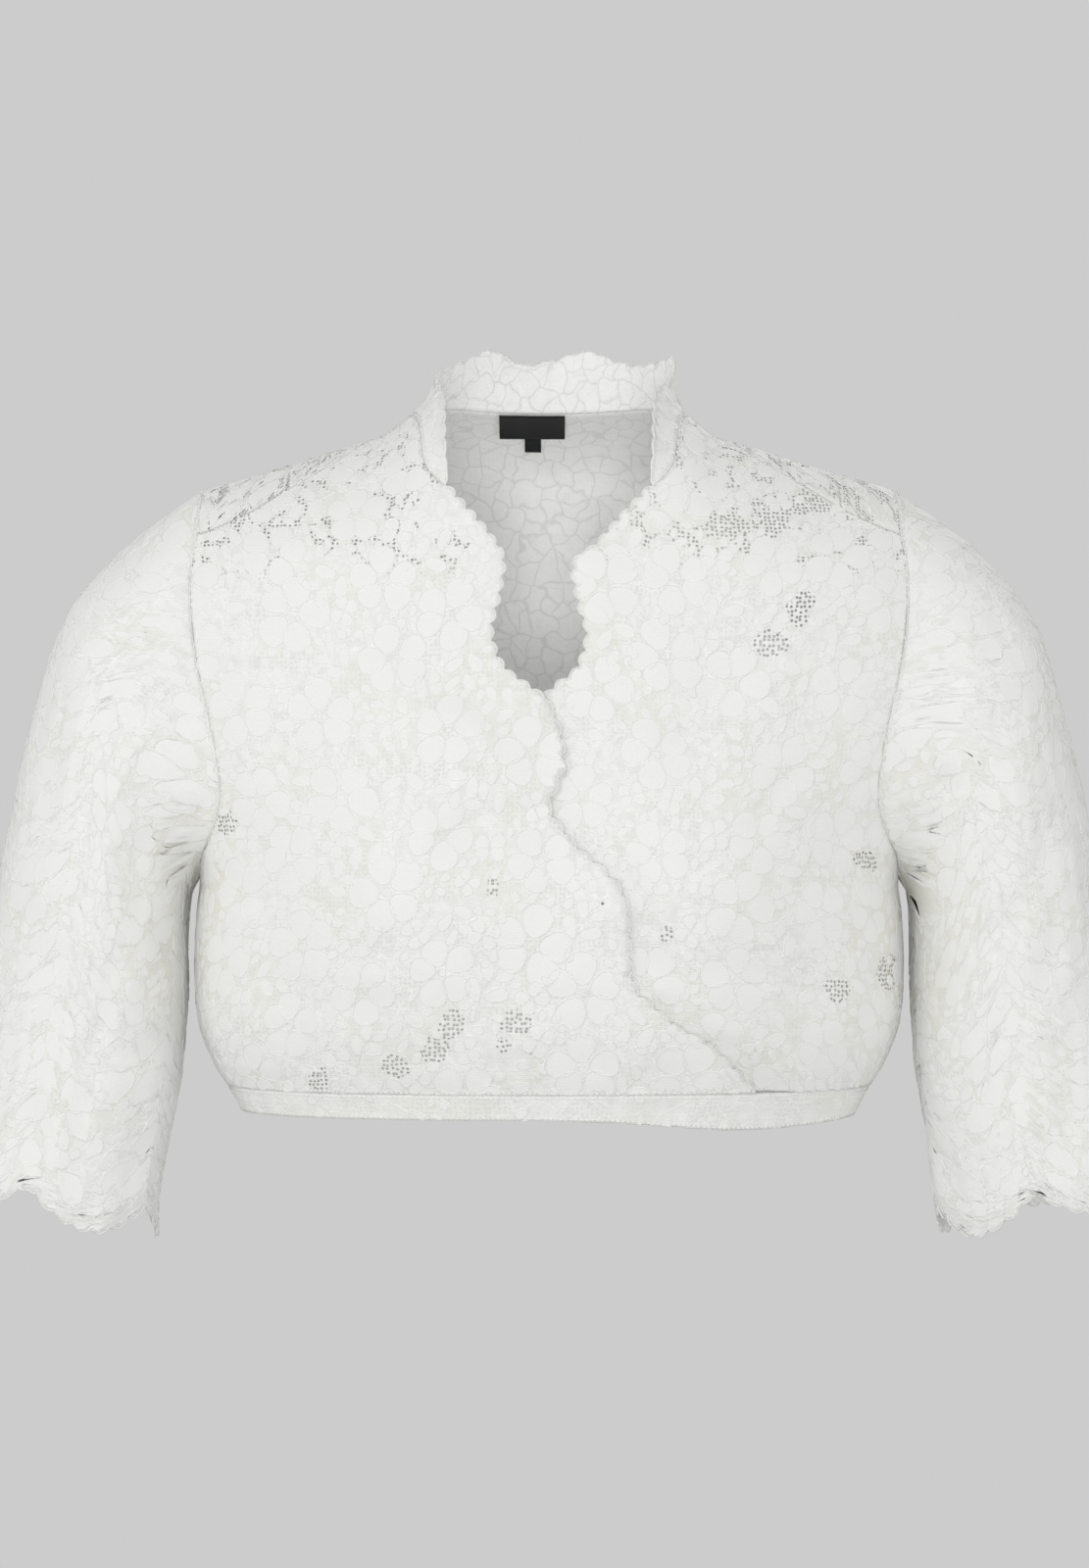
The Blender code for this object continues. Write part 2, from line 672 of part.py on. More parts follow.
def seam_directions(sheets):
    """Each sheet's directions square to its cloth, shared where the edges of two sheets meet."""
    own = {sheet: sheet.normals() for sheet in sheets if not sheet.behind}
    edges = [(sheet, k) for sheet in own for k in sorted({k for pair in sheet.rim() for k in pair})
             if abs(sheet.depths[k]) < FLUSH]
    tree = kdtree.KDTree(len(edges))
    for i, (sheet, k) in enumerate(edges):
        tree.insert(sheet.points[k], i)
    tree.balance()
    shared = {sheet: list(directions) for sheet, directions in own.items()}
    for sheet, k in edges:
        total = own[sheet][k].copy()
        for _, i, _ in tree.find_range(sheet.points[k], 3 * SEAM_GAP):
            other, m = edges[i]
            if other is not sheet and own[other][m].dot(own[sheet][k]) > SMOOTH_SEAM:
                total += own[other][m]
        shared[sheet][k] = total.normalized()
    for sheet, directions in shared.items():
        for k, point in enumerate(sheet.points):
            if abs(point.z - BAND_TOP) < SEAM_GAP:
                directions[k] = Vector((*directions[k].xy, 0)).normalized()
    for sheet in sheets:
        if sheet.behind:
            lead = sheet.behind
            shared[sheet] = [shared[lead][lead.add(point)] for point in sheet.points]
    return shared


def build(sheets):
    """Give every sheet its wall and make it an object."""
    for sheet, directions in seam_directions(sheets).items():
        count = len(sheet.points)
        outer = [p - n * d for p, n, d in zip(sheet.points, directions, sheet.depths)]
        inner = [p - n * sheet.wall for p, n in zip(outer, directions)]
        faces = sheet.faces + [[k + count for k in reversed(face)] for face in sheet.faces]
        faces += [[b, a, a + count, b + count] for a, b in sheet.rim()]
        mesh = bpy.data.meshes.new(sheet.name)
        mesh.from_pydata([tuple(p * MM) for p in outer + inner], [], faces)
        mesh.materials.append(cloth_material(f"{sheet.name}_cloth", sheet.colour))
        mesh.shade_smooth()
        piece = bpy.data.objects.new(sheet.name, mesh)
        bpy.context.scene.collection.objects.link(piece)


def blouse():
    for old in list(bpy.data.objects):
        bpy.data.objects.remove(old, do_unlink=True)

    right_grid, right_front, right_lining = front_sheets(-1, "right", RIGHT_LAP, RIGHT_NECK, True, False)
    left_grid, left_front, left_lining = front_sheets(1, "left", LEFT_LAP, LEFT_NECK, False, True)
    back = back_grid()
    over = {side: over_shoulder(side) for side in (-1, 1)}
    centre = len(back[0]) // 2
    base = [row[0] for row in right_grid[COLLAR_FROM:]]
    base += back[-1][centre - NECK_COLUMNS + 1:centre + NECK_COLUMNS]
    base += [row[0] for row in left_grid[:COLLAR_FROM - 1:-1]]
    back_cloth = back_sheet(back, over)
    sheets = [right_front, left_front, back_cloth, collar_sheet(base)]
    for side, name, grid in ((-1, "right", right_grid), (1, "left", left_grid)):
        loop = armhole_loop(side, grid, over[side], back)
        sheets.append(sleeve_sheet(f"sleeve_{name}", side, loop, SLEEVE_FOLDS[name], HEM_LOBE_PHASE[name]))
    sheets += [
        band_sheet("hem_front", back=False), band_sheet("hem_back", back=True),
        right_lining, left_lining,
        label_sheet("label", back_cloth, LABEL_LEFT, LABEL_RIGHT, LABEL_TOP, LABEL_BOTTOM, 3),
        label_sheet("size_tab", back_cloth, TAB_LEFT, TAB_RIGHT, LABEL_BOTTOM - SEAM_GAP, TAB_BOTTOM, 2),
    ]
    build(sheets)


blouse()
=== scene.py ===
import math

import bpy
import numpy as np
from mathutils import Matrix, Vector


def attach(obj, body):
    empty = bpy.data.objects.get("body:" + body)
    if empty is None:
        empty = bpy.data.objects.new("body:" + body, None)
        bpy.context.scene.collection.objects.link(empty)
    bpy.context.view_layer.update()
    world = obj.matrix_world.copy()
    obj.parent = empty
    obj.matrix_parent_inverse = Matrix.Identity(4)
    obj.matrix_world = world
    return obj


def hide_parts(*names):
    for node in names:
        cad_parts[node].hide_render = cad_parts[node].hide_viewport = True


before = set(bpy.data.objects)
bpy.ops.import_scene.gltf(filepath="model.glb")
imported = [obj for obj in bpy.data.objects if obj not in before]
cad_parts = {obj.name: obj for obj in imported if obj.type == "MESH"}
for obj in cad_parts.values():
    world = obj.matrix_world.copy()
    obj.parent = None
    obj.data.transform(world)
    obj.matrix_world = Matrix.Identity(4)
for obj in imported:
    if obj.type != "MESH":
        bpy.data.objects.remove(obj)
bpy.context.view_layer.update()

# Camera, lights and floor
# The blouse hangs filled out in front of a plain pale grey, square to the camera. The light is soft
# and comes from the front and a little from above, as in a studio tent.
MM = 0.001
scene = bpy.context.scene
scene.view_settings.view_transform = "Standard"
eye = bpy.data.objects.new("camera", bpy.data.cameras.new("camera"))
eye.location = (-0.0024, -2.5, -0.1908)
eye.rotation_euler = (math.pi / 2, 0, 0)
eye.data.sensor_width = 36.0
eye.data.lens = 106.13
eye.data.clip_end = 20.0
scene.collection.objects.link(eye)
scene.camera = eye

BACKDROP = (0.604, 0.604, 0.604)
AMBIENT = 0.86
world = bpy.data.worlds.new("studio")
world.use_nodes = True
world.node_tree.nodes["Background"].inputs["Color"].default_value = (*BACKDROP, 1)
seen = world.node_tree.nodes.new("ShaderNodeLightPath").outputs["Is Camera Ray"]
strength = world.node_tree.nodes.new("ShaderNodeMapRange")
strength.inputs["To Min"].default_value = AMBIENT
world.node_tree.links.new(seen, strength.inputs["Value"])
world.node_tree.links.new(strength.outputs[0], world.node_tree.nodes["Background"].inputs["Strength"])
scene.world = world


def soft_light(name, place, aim, size, power):
    lamp = bpy.data.lights.new(name, "AREA")
    lamp.shape = "DISK"
    lamp.size = size
    lamp.energy = power
    holder = bpy.data.objects.new(name, lamp)
    holder.location = place
    holder.rotation_euler = (Vector(aim) - Vector(place)).to_track_quat("-Z", "Y").to_euler()
    scene.collection.objects.link(holder)


soft_light("front", (0.0, -2.9, -0.45), (0, 0, -0.22), 0.8, 20)
soft_light("key", (-0.9, -1.7, 1.4), (0, 0, -0.15), 0.6, 9)
soft_light("left", (-2.2, -1.2, -0.3), (-0.1, 0, -0.25), 1.2, 6.5)
soft_light("right", (2.2, -1.2, -0.2), (0.1, 0, -0.25), 1.2, 6)
soft_light("back", (0.3, 1.9, 0.9), (0, 0, -0.15), 1.4, 16)
soft_light("neck", (0.0, -0.06, -0.08), (0, 0.09, 0.0), 0.06, 0.045)


def plain_material(name, colour, roughness):
    made = bpy.data.materials.new(name)
    made.use_nodes = True
    shader = made.node_tree.nodes["Principled BSDF"]
    shader.inputs["Base Color"].default_value = (*colour, 1)
    shader.inputs["Roughness"].default_value = roughness
    return made


FLOOR_LEVEL, FLOOR_RADIUS = -0.9, 1.25
rim = [(FLOOR_RADIUS * math.cos(a), FLOOR_RADIUS * math.sin(a), FLOOR_LEVEL)
       for a in np.linspace(0, 2 * math.pi, 96, endpoint=False)]
floor_mesh = bpy.data.meshes.new("floor")
floor_mesh.from_pydata(rim, [], [list(range(96))])
floor_mesh.materials.append(plain_material("floor_paint", (0.62, 0.62, 0.62), 0.9))
floor = bpy.data.objects.new("floor", floor_mesh)
scene.collection.objects.link(floor)

# Fronts and their linings
# Two fronts of floral lace wrap over each other, the viewer's left one on top. Each is cut along the
# lace's own scalloped edge, and a plain soft cloth lies behind it up to the bust.
SQUARENESS, FRONT_ROLL, BACK_ROLL = 2.3, 70.0, 45.0
# level, half width, depth in front, depth behind
BODY = [
    (-380, 160, 88, 76), (-368, 165, 91, 79), (-353, 173, 96, 83), (-340, 181, 102, 86),
    (-318, 189, 109, 90), (-290, 191, 113, 94), (-262, 190, 114, 98), (-240, 188, 113, 101),
    (-212, 194, 110, 104), (-180, 208, 104, 105), (-146, 217, 97, 105), (-80, 222, 85, 102),
    (-34, 222, 73, 98), (0, 222, 67, 96), (30, 222, 63, 95),
]
# out from the middle, level, drop of the shoulder seam
SHOULDER = [
    (0, 24, 0.6), (45, 21, 0.6), (60, 17, 0.6), (70, 12, 0.6), (78, 5.5, 0.6), (87, -1.5, 0.8),
    (98, -5.6, 1.6), (112, -10, 7), (137, -18, 14.5), (161, -25, 22), (188, -32.5, 25.5), (230, -44, 26),
]
# out, level, rise, width and height of a swelling
BUST = (88.0, -236.0, 15.0, 40.0, 46.0)
BLADE = (85.0, -105.0, 5.0, 45.0, 55.0)
BAND_TOP, NECK_SIDE, ARM_TOP = -353.0, 74.0, 186.0
UNDERARM = (188, -240)
# seam and edge lines: x, level
RIGHT_LAP = [
    (108, -353), (82, -326), (66, -317), (54, -307), (43, -296), (41, -280), (38, -250), (27, -235),
    (14, -224), (5, -213), (-1, -202), (6, -184), (5, -165), (-2, -146),
]
RIGHT_NECK = [
    (-2, -146), (-11, -140), (-25, -129), (-31, -111), (-27, -92), (-25, -72), (-33, -59), (-45, -45),
    (-54.5, -34),
]
LEFT_LAP = [(-86, -353), (-70, -310), (-52, -260), (-34, -210), (-16, -172), (-4, -147)]
LEFT_NECK = [
    (-4, -147), (6, -138), (15, -131), (20.5, -113), (16, -95), (14, -75), (27, -64), (40, -49),
    (54.5, -34),
]
COLLAR_SEAM = [(54.5, -34), (65, -23), (68, -8), (70, 4), (NECK_SIDE, 8.4)]
ARMHOLE_FRONT = [
    UNDERARM, (186, -230), (180, -219), (175, -205), (174, -188), (179, -160), (186, -130), (190, -100),
    (190, -76), (188, -58),
]
# creases: from x, level to x, level; half width; height, below zero for a trough
FRONT_CREASES = [
    (-66, -214, 24, -212, 15, -4.8), (-118, -112, -2, -202, 15, 4.0), (128, -104, 58, -180, 15, -3.4),
    (38, -254, 68, -312, 15, -3.6), (-152, -256, -128, -330, 15, -3.2), (148, -246, 130, -326, 15, -3.2),
    (-58, -206, 12, -205, 5, -1.4), (-40, -222, 30, -226, 6, 1.2), (20, -262, 46, -274, 5, -1.3),
    (50, -300, 70, -312, 5, -1.5), (-172, -228, -120, -214, 7, -1.6), (172, -226, 118, -206, 7, -1.7),
    (-168, -244, -132, -262, 7, -1.5), (166, -248, 132, -270, 7, 1.5), (-150, -150, -90, -196, 8, 1.2),
    (150, -160, 96, -222, 8, -1.3), (-100, -330, -92, -352, 4, -1.4), (-32, -334, -30, -353, 4, -1.5),
    (46, -336, 44, -353, 4, -1.4), (96, -332, 100, -353, 4, -1.2), (-140, -336, -136, -353, 4, -1.3),
    (-96, -60, -60, -96, 8, 1.0), (100, -58, 64, -100, 8, 1.0), (-60, -150, -22, -168, 6, 1.1),
    (62, -150, 24, -176, 6, -1.0), (-128, -286, -60, -300, 9, 1.2), (92, -284, 148, -300, 9, -1.2),
]
EDGE_FINE, COLLAR_FINE, FRONT_COLUMNS = 10, 5, 56
CAD_ROWS, LAP_ROWS, NECK_ROWS, SIDE_ROWS, LINING_ROWS = 24, 12, 8, 6, 17
SCALLOP_DEPTH, SCALLOPS_A_ROW, SCALLOP_REACH = 2.6, 2, 4
LACE_WALL, LINING_WALL, SEAM_GAP = 0.7, 0.5, 0.04
LINING_DEPTH, LINING_FROM, COLLAR_CAD_ROWS = 1.1, 5, 4
UNDERLAP = 2.5
# where the left front rises from under the lap: reach and fade beside it, the same above it
LAP_BESIDE, LAP_BESIDE_FADE, LAP_ABOVE, LAP_ABOVE_FADE = 26, 22, 22, 34
CREASE_ENDS, BODY_SEED = 1.4, 3
# grid in which the body is laid out flat: columns round a quarter, lowest and highest level, step
FLAT_ANGLES, FLAT_LOW, FLAT_HIGH, FLAT_STEP = 90, -386, 32, 2.0
CORE = np.array([0, 0, -180.0])


def reader(rows):
    """The columns of a table at any place in its first, on a smooth curve through the rows."""
    table = np.array(rows, float)
    knots, columns = table[:, 0], table[:, 1:]

    def at(where):
        where = np.clip(where, knots[0], knots[-1])
        k = np.clip(np.searchsorted(knots, where, side="right") - 1, 0, len(knots) - 2)
        before, after = np.maximum(k - 1, 0), np.minimum(k + 2, len(knots) - 1)
        span = knots[k + 1] - knots[k]
        t = ((where - knots[k]) / span)[..., None]
        leave = (columns[k + 1] - columns[before]) * (span / (knots[k + 1] - knots[before]))[..., None]
        reach = (columns[after] - columns[k]) * (span / (knots[after] - knots[k]))[..., None]
        return ((2 * t**3 - 3 * t**2 + 1) * columns[k] + (t**3 - 2 * t**2 + t) * leave
                + (3 * t**2 - 2 * t**3) * columns[k + 1] + (t**3 - t**2) * reach)
    return at


body_at, shoulder_at = reader(BODY), reader(SHOULDER)


def creased(creases, x, level):
    height = np.zeros(np.shape(x))
    for x0, level0, x1, level1, spread, rise in creases:
        run_x, run_z = x1 - x0, level1 - level0
        share = ((x - x0) * run_x + (level - level0) * run_z) / (run_x**2 + run_z**2)
        off = np.hypot(x - x0 - run_x * share, level - level0 - run_z * share) / spread
        inside = (share > 0) & (share < 1)
        bow = np.sin(math.pi * np.clip(share, 0, 1)) ** CREASE_ENDS
        height += np.where(inside, rise * bow * np.exp(-off * off), 0)
    return height


def swelling(shape, x, level):
    out, at, rise, wide, tall = shape
    return rise * np.exp(-((np.abs(x) - out) / wide) ** 2 / 2 - ((level - at) / tall) ** 2 / 2)


def uneven(x, level, seed):
    """Slow waves of a millimetre or less, so that no stretch of cloth is quite smooth."""
    waves = np.random.default_rng(seed)
    height = np.zeros(np.shape(x))
    for size in (70, 52, 38, 27, 20):
        angle, phase = waves.uniform(0, math.pi), waves.uniform(0, 2 * math.pi)
        along = x * math.cos(angle) + level * math.sin(angle)
        across = level * math.cos(angle) - x * math.sin(angle)
        bend = np.sin(across / size * 2.1 + phase)
        height += size / 150 * np.sin(2 * math.pi * along / size + phase + bend)
    return height


def on_body(x, level, back=False):
    """Points of the blouse's form, in millimetres."""
    x, level = np.asarray(x, float), np.asarray(level, float)
    width, front, rear = np.moveaxis(body_at(level), -1, 0)
    side = np.maximum(0, 1 - np.abs(x / width) ** SQUARENESS) ** (1 / SQUARENESS)
    top = shoulder_at(np.abs(x))[..., 0]
    drop = np.clip((top - level) / (BACK_ROLL if back else FRONT_ROLL), 0, 1)
    roll = np.sqrt(1 - (1 - drop) ** 2)
    shape, creases = (BLADE, BACK_CREASES) if back else (BUST, FRONT_CREASES)
    relief = swelling(shape, x, level) + creased(creases, x, level)
    relief += uneven(x, level, BODY_SEED + back) * roll
    y = (rear if back else -front) * side * roll + (relief if back else -relief) * side
    return np.stack([x, y, level], -1)


def turn(x, level):
    share = np.minimum(np.abs(x) / body_at(level)[..., 0], 1)
    return np.copysign(np.arcsin(share ** (SQUARENESS / 2)), x)


def unturn(angle, level):
    return np.copysign(body_at(level)[..., 0] * np.abs(np.sin(angle)) ** (2 / SQUARENESS), angle)


def reach_along(points):
    steps = np.linalg.norm(np.diff(points, axis=0), axis=1)
    return np.concatenate([[0], np.cumsum(steps)])


def smooth_line(points, samples=48):
    points = np.array(points, float)
    reach = reach_along(points)
    where = np.linspace(0, reach[-1], samples * (len(points) - 1) + 1)
    return reader(np.column_stack([reach, points]))(where)


def stations(points, shares, place):
    """Spots at shares of a line's length, measured where place() puts it in space."""
    line = smooth_line(points)
    reach = reach_along(place(line[:, 0], line[:, 1]))
    want = np.asarray(shares) * reach[-1]
    return np.column_stack([np.interp(want, reach, line[:, c]) for c in (0, 1)])


def patch(bottom, top, inner, outer, v):
    """Spots of a grid between four edges of spots, in angle round the body and level."""
    low, high, near, far = (np.column_stack([turn(e[:, 0], e[:, 1]), e[:, 1]])
                            for e in (bottom, top, inner, outer))
    u = np.linspace(0, 1, len(low))[None, :, None]
    v = np.asarray(v)[:, None, None]
    spots = low[None] * (1 - v) + high[None] * v + near[:, None] * (1 - u) + far[:, None] * u
    spots -= (low[0] * (1 - u) + low[-1] * u) * (1 - v) + (high[0] * (1 - u) + high[-1] * u) * v
    return np.stack([unturn(spots[..., 0], spots[..., 1]), spots[..., 1]], -1)


def shoulder_spots(side, ahead, count):
    x = np.linspace(NECK_SIDE, ARM_TOP + (ARMHOLE_FRONT[-1][0] - ARM_TOP) * ahead, count)
    level, drop = np.moveaxis(shoulder_at(x), -1, 0)
    return np.column_stack([side * x, level - drop * ahead * ahead])


def scallops(edge, rows, outward):
    """How far the small arcs of an edge stand out from it; rows is each spot's place in rows of the grid."""
    run = np.gradient(edge, axis=0)
    run /= np.linalg.norm(run, axis=1, keepdims=True)
    out = SCALLOP_DEPTH * np.abs(np.sin(math.pi * rows * SCALLOPS_A_ROW)) ** 0.8 * outward
    out *= np.clip(1.4 * np.abs(run[:, 1]), 0.25, 1)
    return np.column_stack([run[:, 1], -run[:, 0]]) * out[:, None]


front_rows = np.concatenate([
    np.arange(0, LAP_ROWS + NECK_ROWS, 1 / EDGE_FINE),
    np.linspace(LAP_ROWS + NECK_ROWS, CAD_ROWS, (CAD_ROWS - LAP_ROWS - NECK_ROWS) * COLLAR_FINE + 1),
])


def front_spots(side, lap, neck, lap_scallops):
    lap_rows = front_rows[front_rows < LAP_ROWS]
    neck_rows = front_rows[(front_rows >= LAP_ROWS) & (front_rows < LAP_ROWS + NECK_ROWS)]
    seam_rows = front_rows[front_rows >= LAP_ROWS + NECK_ROWS]
    lap_edge = stations(lap, lap_rows / LAP_ROWS, on_body)
    neck_edge = stations(neck, (neck_rows - LAP_ROWS) / NECK_ROWS, on_body)
    seam = stations([(side * x, z) for x, z in COLLAR_SEAM],
                    (seam_rows - seam_rows[0]) / (CAD_ROWS - seam_rows[0]), on_body)
    inner = np.vstack([lap_edge, neck_edge, seam])
    first = 0 if lap_scallops else len(lap_rows)
    last = len(lap_rows) + len(neck_rows)
    arcs = scallops(inner[first:last], front_rows[first:last], -side)
    side_rows = front_rows[front_rows < SIDE_ROWS]
    levels = BAND_TOP + (UNDERARM[1] - BAND_TOP) * side_rows / SIDE_ROWS
    side_seam = np.column_stack([side * body_at(levels)[:, 0], levels])
    arm_rows = front_rows[front_rows >= SIDE_ROWS]
    armhole = stations([(side * x, z) for x, z in ARMHOLE_FRONT],
                       (arm_rows - SIDE_ROWS) / (CAD_ROWS - SIDE_ROWS), on_body)
    outer = np.vstack([side_seam, armhole])
    top = shoulder_spots(side, 1.0, FRONT_COLUMNS + 1)
    inner[-1], outer[-1] = top[0], top[-1]
    ends = [turn(*inner[0]), turn(*outer[0])]
    levels = np.full(FRONT_COLUMNS + 1, BAND_TOP)
    hem = np.column_stack([unturn(np.linspace(*ends, FRONT_COLUMNS + 1), levels), levels])
    spots = patch(hem, top, inner, outer, front_rows / CAD_ROWS)
    fade = eased(1 - np.arange(FRONT_COLUMNS + 1) / SCALLOP_REACH)
    spots[first:last] += arcs[:, None] * fade[None, :, None]
    return spots


def eased(share):
    share = np.clip(share, 0, 1)
    return share * share * (3 - 2 * share)


right_lap_at = reader([(z, x) for x, z in RIGHT_LAP])


def under_the_lap(x, level):
    edge = right_lap_at(level)[..., 0]
    beside = eased((edge + LAP_BESIDE - x) / LAP_BESIDE_FADE)
    return UNDERLAP * beside * eased((RIGHT_NECK[1][1] + LAP_ABOVE - level) / LAP_ABOVE_FADE)


def flat_table(back):
    """How far each place of the body lies from the middle and from the hem, along the cloth."""
    angle, level = np.meshgrid(np.linspace(0, math.pi / 2, FLAT_ANGLES + 1),
                               np.arange(FLAT_LOW, FLAT_HIGH + 1, FLAT_STEP))
    spots = on_body(unturn(angle, level), level, back)
    across = np.cumsum(np.linalg.norm(np.diff(spots, axis=1), axis=2), axis=1)
    up = np.cumsum(np.linalg.norm(np.diff(spots, axis=0), axis=2), axis=0)
    return np.pad(across, ((0, 0), (1, 0))), np.pad(up, ((1, 0), (0, 0)))


def laid_flat(spots, back=False):
    """Flat place of each spot, as the cloth was cut."""
    angle = turn(spots[..., 0], spots[..., 1])
    column = np.clip(np.abs(angle) / (math.pi / 2) * FLAT_ANGLES, 0, FLAT_ANGLES - 0.001)
    row = np.clip((spots[..., 1] - FLAT_LOW) / FLAT_STEP, 0, (FLAT_HIGH - FLAT_LOW) / FLAT_STEP - 0.001)
    i, j = column.astype(int), row.astype(int)
    a, b = column - i, row - j
    u, v = ((table[j, i] * (1 - a) + table[j, i + 1] * a) * (1 - b)
            + (table[j + 1, i] * (1 - a) + table[j + 1, i + 1] * a) * b for table in flat_table(back))
    return np.stack([np.copysign(u, spots[..., 0]), v], -1)


def outward_normals(grid, centre, closed=False):
    """Directions square to a grid of points, out from a centre."""
    if closed:
        across = np.roll(grid, -1, axis=1) - np.roll(grid, 1, axis=1)
    else:
        across = np.gradient(grid, axis=1)
    found = np.cross(across, np.gradient(grid, axis=0))
    found /= np.maximum(np.linalg.norm(found, axis=2, keepdims=True), 1e-9)
    return found * math.copysign(1, float((found * (grid - centre)).sum()))


def grid_faces(rows, columns, closed, start=0):
    """Quads over a grid, each with its corners' rows and columns."""
    j, i = np.meshgrid(np.arange(rows - 1), np.arange(columns if closed else columns - 1), indexing="ij")
    corners = [(j, i), (j, i + 1), (j + 1, i + 1), (j + 1, i)]
    return np.stack([start + r * columns + c % columns for r, c in corners], -1).reshape(-1, 4), corners


def make_object(name, points, faces, flat_corners=None, material=None, marks=None):
    mesh = bpy.data.meshes.new(name)
    mesh.from_pydata((np.asarray(points) * MM).tolist(), [], np.asarray(faces).tolist()
                     if isinstance(faces, np.ndarray) else faces)
    if flat_corners is not None:
        layer = mesh.uv_layers.new(name="UVMap")
        layer.data.foreach_set("uv", (np.asarray(flat_corners) * MM).astype(np.float32).ravel())
    for mark, values in (marks or {}).items():
        kept = mesh.attributes.new(mark, "FLOAT", "POINT")
        kept.data.foreach_set("value", np.asarray(values, np.float32).ravel())
    if material:
        mesh.materials.append(material)
    mesh.shade_smooth()
    mesh.validate()
    made = bpy.data.objects.new(name, mesh)
    scene.collection.objects.link(made)
    return made


def cloth(name, grid, flat, wall, material, centre, closed=False, marks=None):
    """A thin shell whose outer side is a grid of points. Returns it and its outer side alone."""
    rows, columns = grid.shape[:2]
    square = outward_normals(grid, centre, closed)
    outer, inner = grid.reshape(-1, 3), (grid - square * wall).reshape(-1, 3)
    faces, corners = grid_faces(rows, columns, closed)
    cut = np.stack([flat[r, c] for r, c in corners], -2).reshape(-1, 4, 2)
    across = outer[faces[:, 1]] - outer[faces[:, 0]]
    up = outer[faces[:, 3]] - outer[faces[:, 0]]
    if (np.cross(across, up) * square.reshape(-1, 3)[faces[:, 0]]).sum() < 0:
        faces, cut = faces[:, ::-1], cut[:, ::-1]
    count = rows * columns
    edges = [j * columns + np.arange(columns + closed) % columns for j in (0, rows - 1)]
    if not closed:
        edges += [np.arange(rows) * columns + i for i in (0, columns - 1)]
    flat_points = flat[:, :columns].reshape(-1, 2)
    rim = np.vstack([np.column_stack([edge[:-1], edge[1:]]) for edge in edges])
    ahead = np.column_stack([faces.ravel(), np.roll(faces, -1, axis=1).ravel()])
    known = set((ahead[:, 0] * count + ahead[:, 1]).tolist())
    there = np.array([a * count + b in known for a, b in rim.tolist()])
    rim[~there] = rim[~there][:, ::-1]
    rim_cut = flat_points[rim[:, [1, 0, 0, 1]]]
    rim = np.column_stack([rim[:, 1], rim[:, 0], rim[:, 0] + count, rim[:, 1] + count])
    all_faces = np.vstack([faces, faces[:, ::-1] + count, rim])
    all_cut = np.vstack([cut, cut[:, ::-1], rim_cut])
    both = {mark: np.concatenate([np.ravel(v), np.ravel(v)]) for mark, v in (marks or {}).items()}
    both["inside"] = np.concatenate([np.zeros(count), np.ones(count)])
    shell = make_object(name, np.vstack([outer, inner]), all_faces, all_cut.reshape(-1, 2), material, both)
    layer = make_object(name + "_layer", outer, faces, cut.reshape(-1, 2))
    return shell, layer


class Nodes:
    """Short calls for building a material's or a geometry tree's nodes."""

    def __init__(self, tree):
        self.tree = tree

    def add(self, kind, settings=None, **inputs):
        """A node. Its inputs are given by name, or as i and a number, each a value or a socket."""
        node = self.tree.nodes.new(kind)
        for key, value in (settings or {}).items():
            setattr(node, key, value)
        for key, value in inputs.items():
            numbered = key[0] == "i" and key[1:].isdigit()
            socket = node.inputs[int(key[1:]) if numbered else key.replace("_", " ")]
            if isinstance(value, bpy.types.NodeSocket):
                self.tree.links.new(value, socket)
            else:
                socket.default_value = value
        return node

    def math(self, operation, a, b=0.0, c=0.0, clamp=False):
        settings = {"operation": operation, "use_clamp": clamp}
        return self.add("ShaderNodeMath", settings, i0=a, i1=b, i2=c).outputs[0]

    def times(self, a, b, c=0.0, clamp=False):
        """a times b, and c more."""
        return self.math("MULTIPLY_ADD", a, b, c, clamp)

    def ramp(self, value, low, high):
        return self.add("ShaderNodeMapRange", {"interpolation_type": "SMOOTHSTEP"}, Value=value,
                        From_Min=low, From_Max=high).outputs[0]

    def less(self, value):
        return self.math("SUBTRACT", 1.0, value, clamp=True)

    def mark(self, name, output="Fac"):
        return self.add("ShaderNodeAttribute", {"attribute_name": name}).outputs[output]

    def noise(self, where, scale, detail, **more):
        return self.add("ShaderNodeTexNoise", {"noise_dimensions": "2D"}, Vector=where, Scale=scale,
                        Detail=detail, **more).outputs

    def cells(self, feature, where, pitch, scatter):
        return self.add("ShaderNodeTexVoronoi", {"voronoi_dimensions": "2D", "feature": feature},
                        Vector=where, Scale=1 / pitch, Randomness=scatter).outputs["Distance"]

    def ribs(self, where, scale, bend, detail=2.0, detail_scale=1.0):
        return self.add("ShaderNodeTexWave", {"wave_type": "BANDS", "bands_direction": "Y"}, Vector=where,
                        Scale=scale, Distortion=bend, Detail=detail, Detail_Scale=detail_scale).outputs["Fac"]

    def blend(self, share, low, high):
        """One colour turning into another."""
        low, high = ((*colour, 1) if isinstance(colour, tuple) else colour for colour in (low, high))
        return self.add("ShaderNodeMix", {"data_type": "RGBA"}, i0=share, i6=low, i7=high).outputs[2]

    def cloth_finish(self, colour, height, strength, depth):
        """Joins colour and relief to the material's shader."""
        shader = self.tree.nodes["Principled BSDF"]
        relief = self.add("ShaderNodeBump", Height=height, Strength=strength, Distance=depth).outputs[0]
        self.tree.links.new(relief, shader.inputs["Normal"])
        if colour:
            self.tree.links.new(colour, shader.inputs["Base Color"])


THREAD = (0.95, 0.952, 0.94)
GROUND = (0.80, 0.80, 0.775)
SHADE = (0.66, 0.66, 0.635)
CORD_SHADE = (0.84, 0.84, 0.815)
CREAM = (0.84, 0.83, 0.75)
NET_PITCH, NET_HOLE, OUTLINE_PITCH, CRACKLE_PITCH = 0.0025, 0.31, 0.015, 0.011
SWAY, SHEEN = 0.012, 0.15


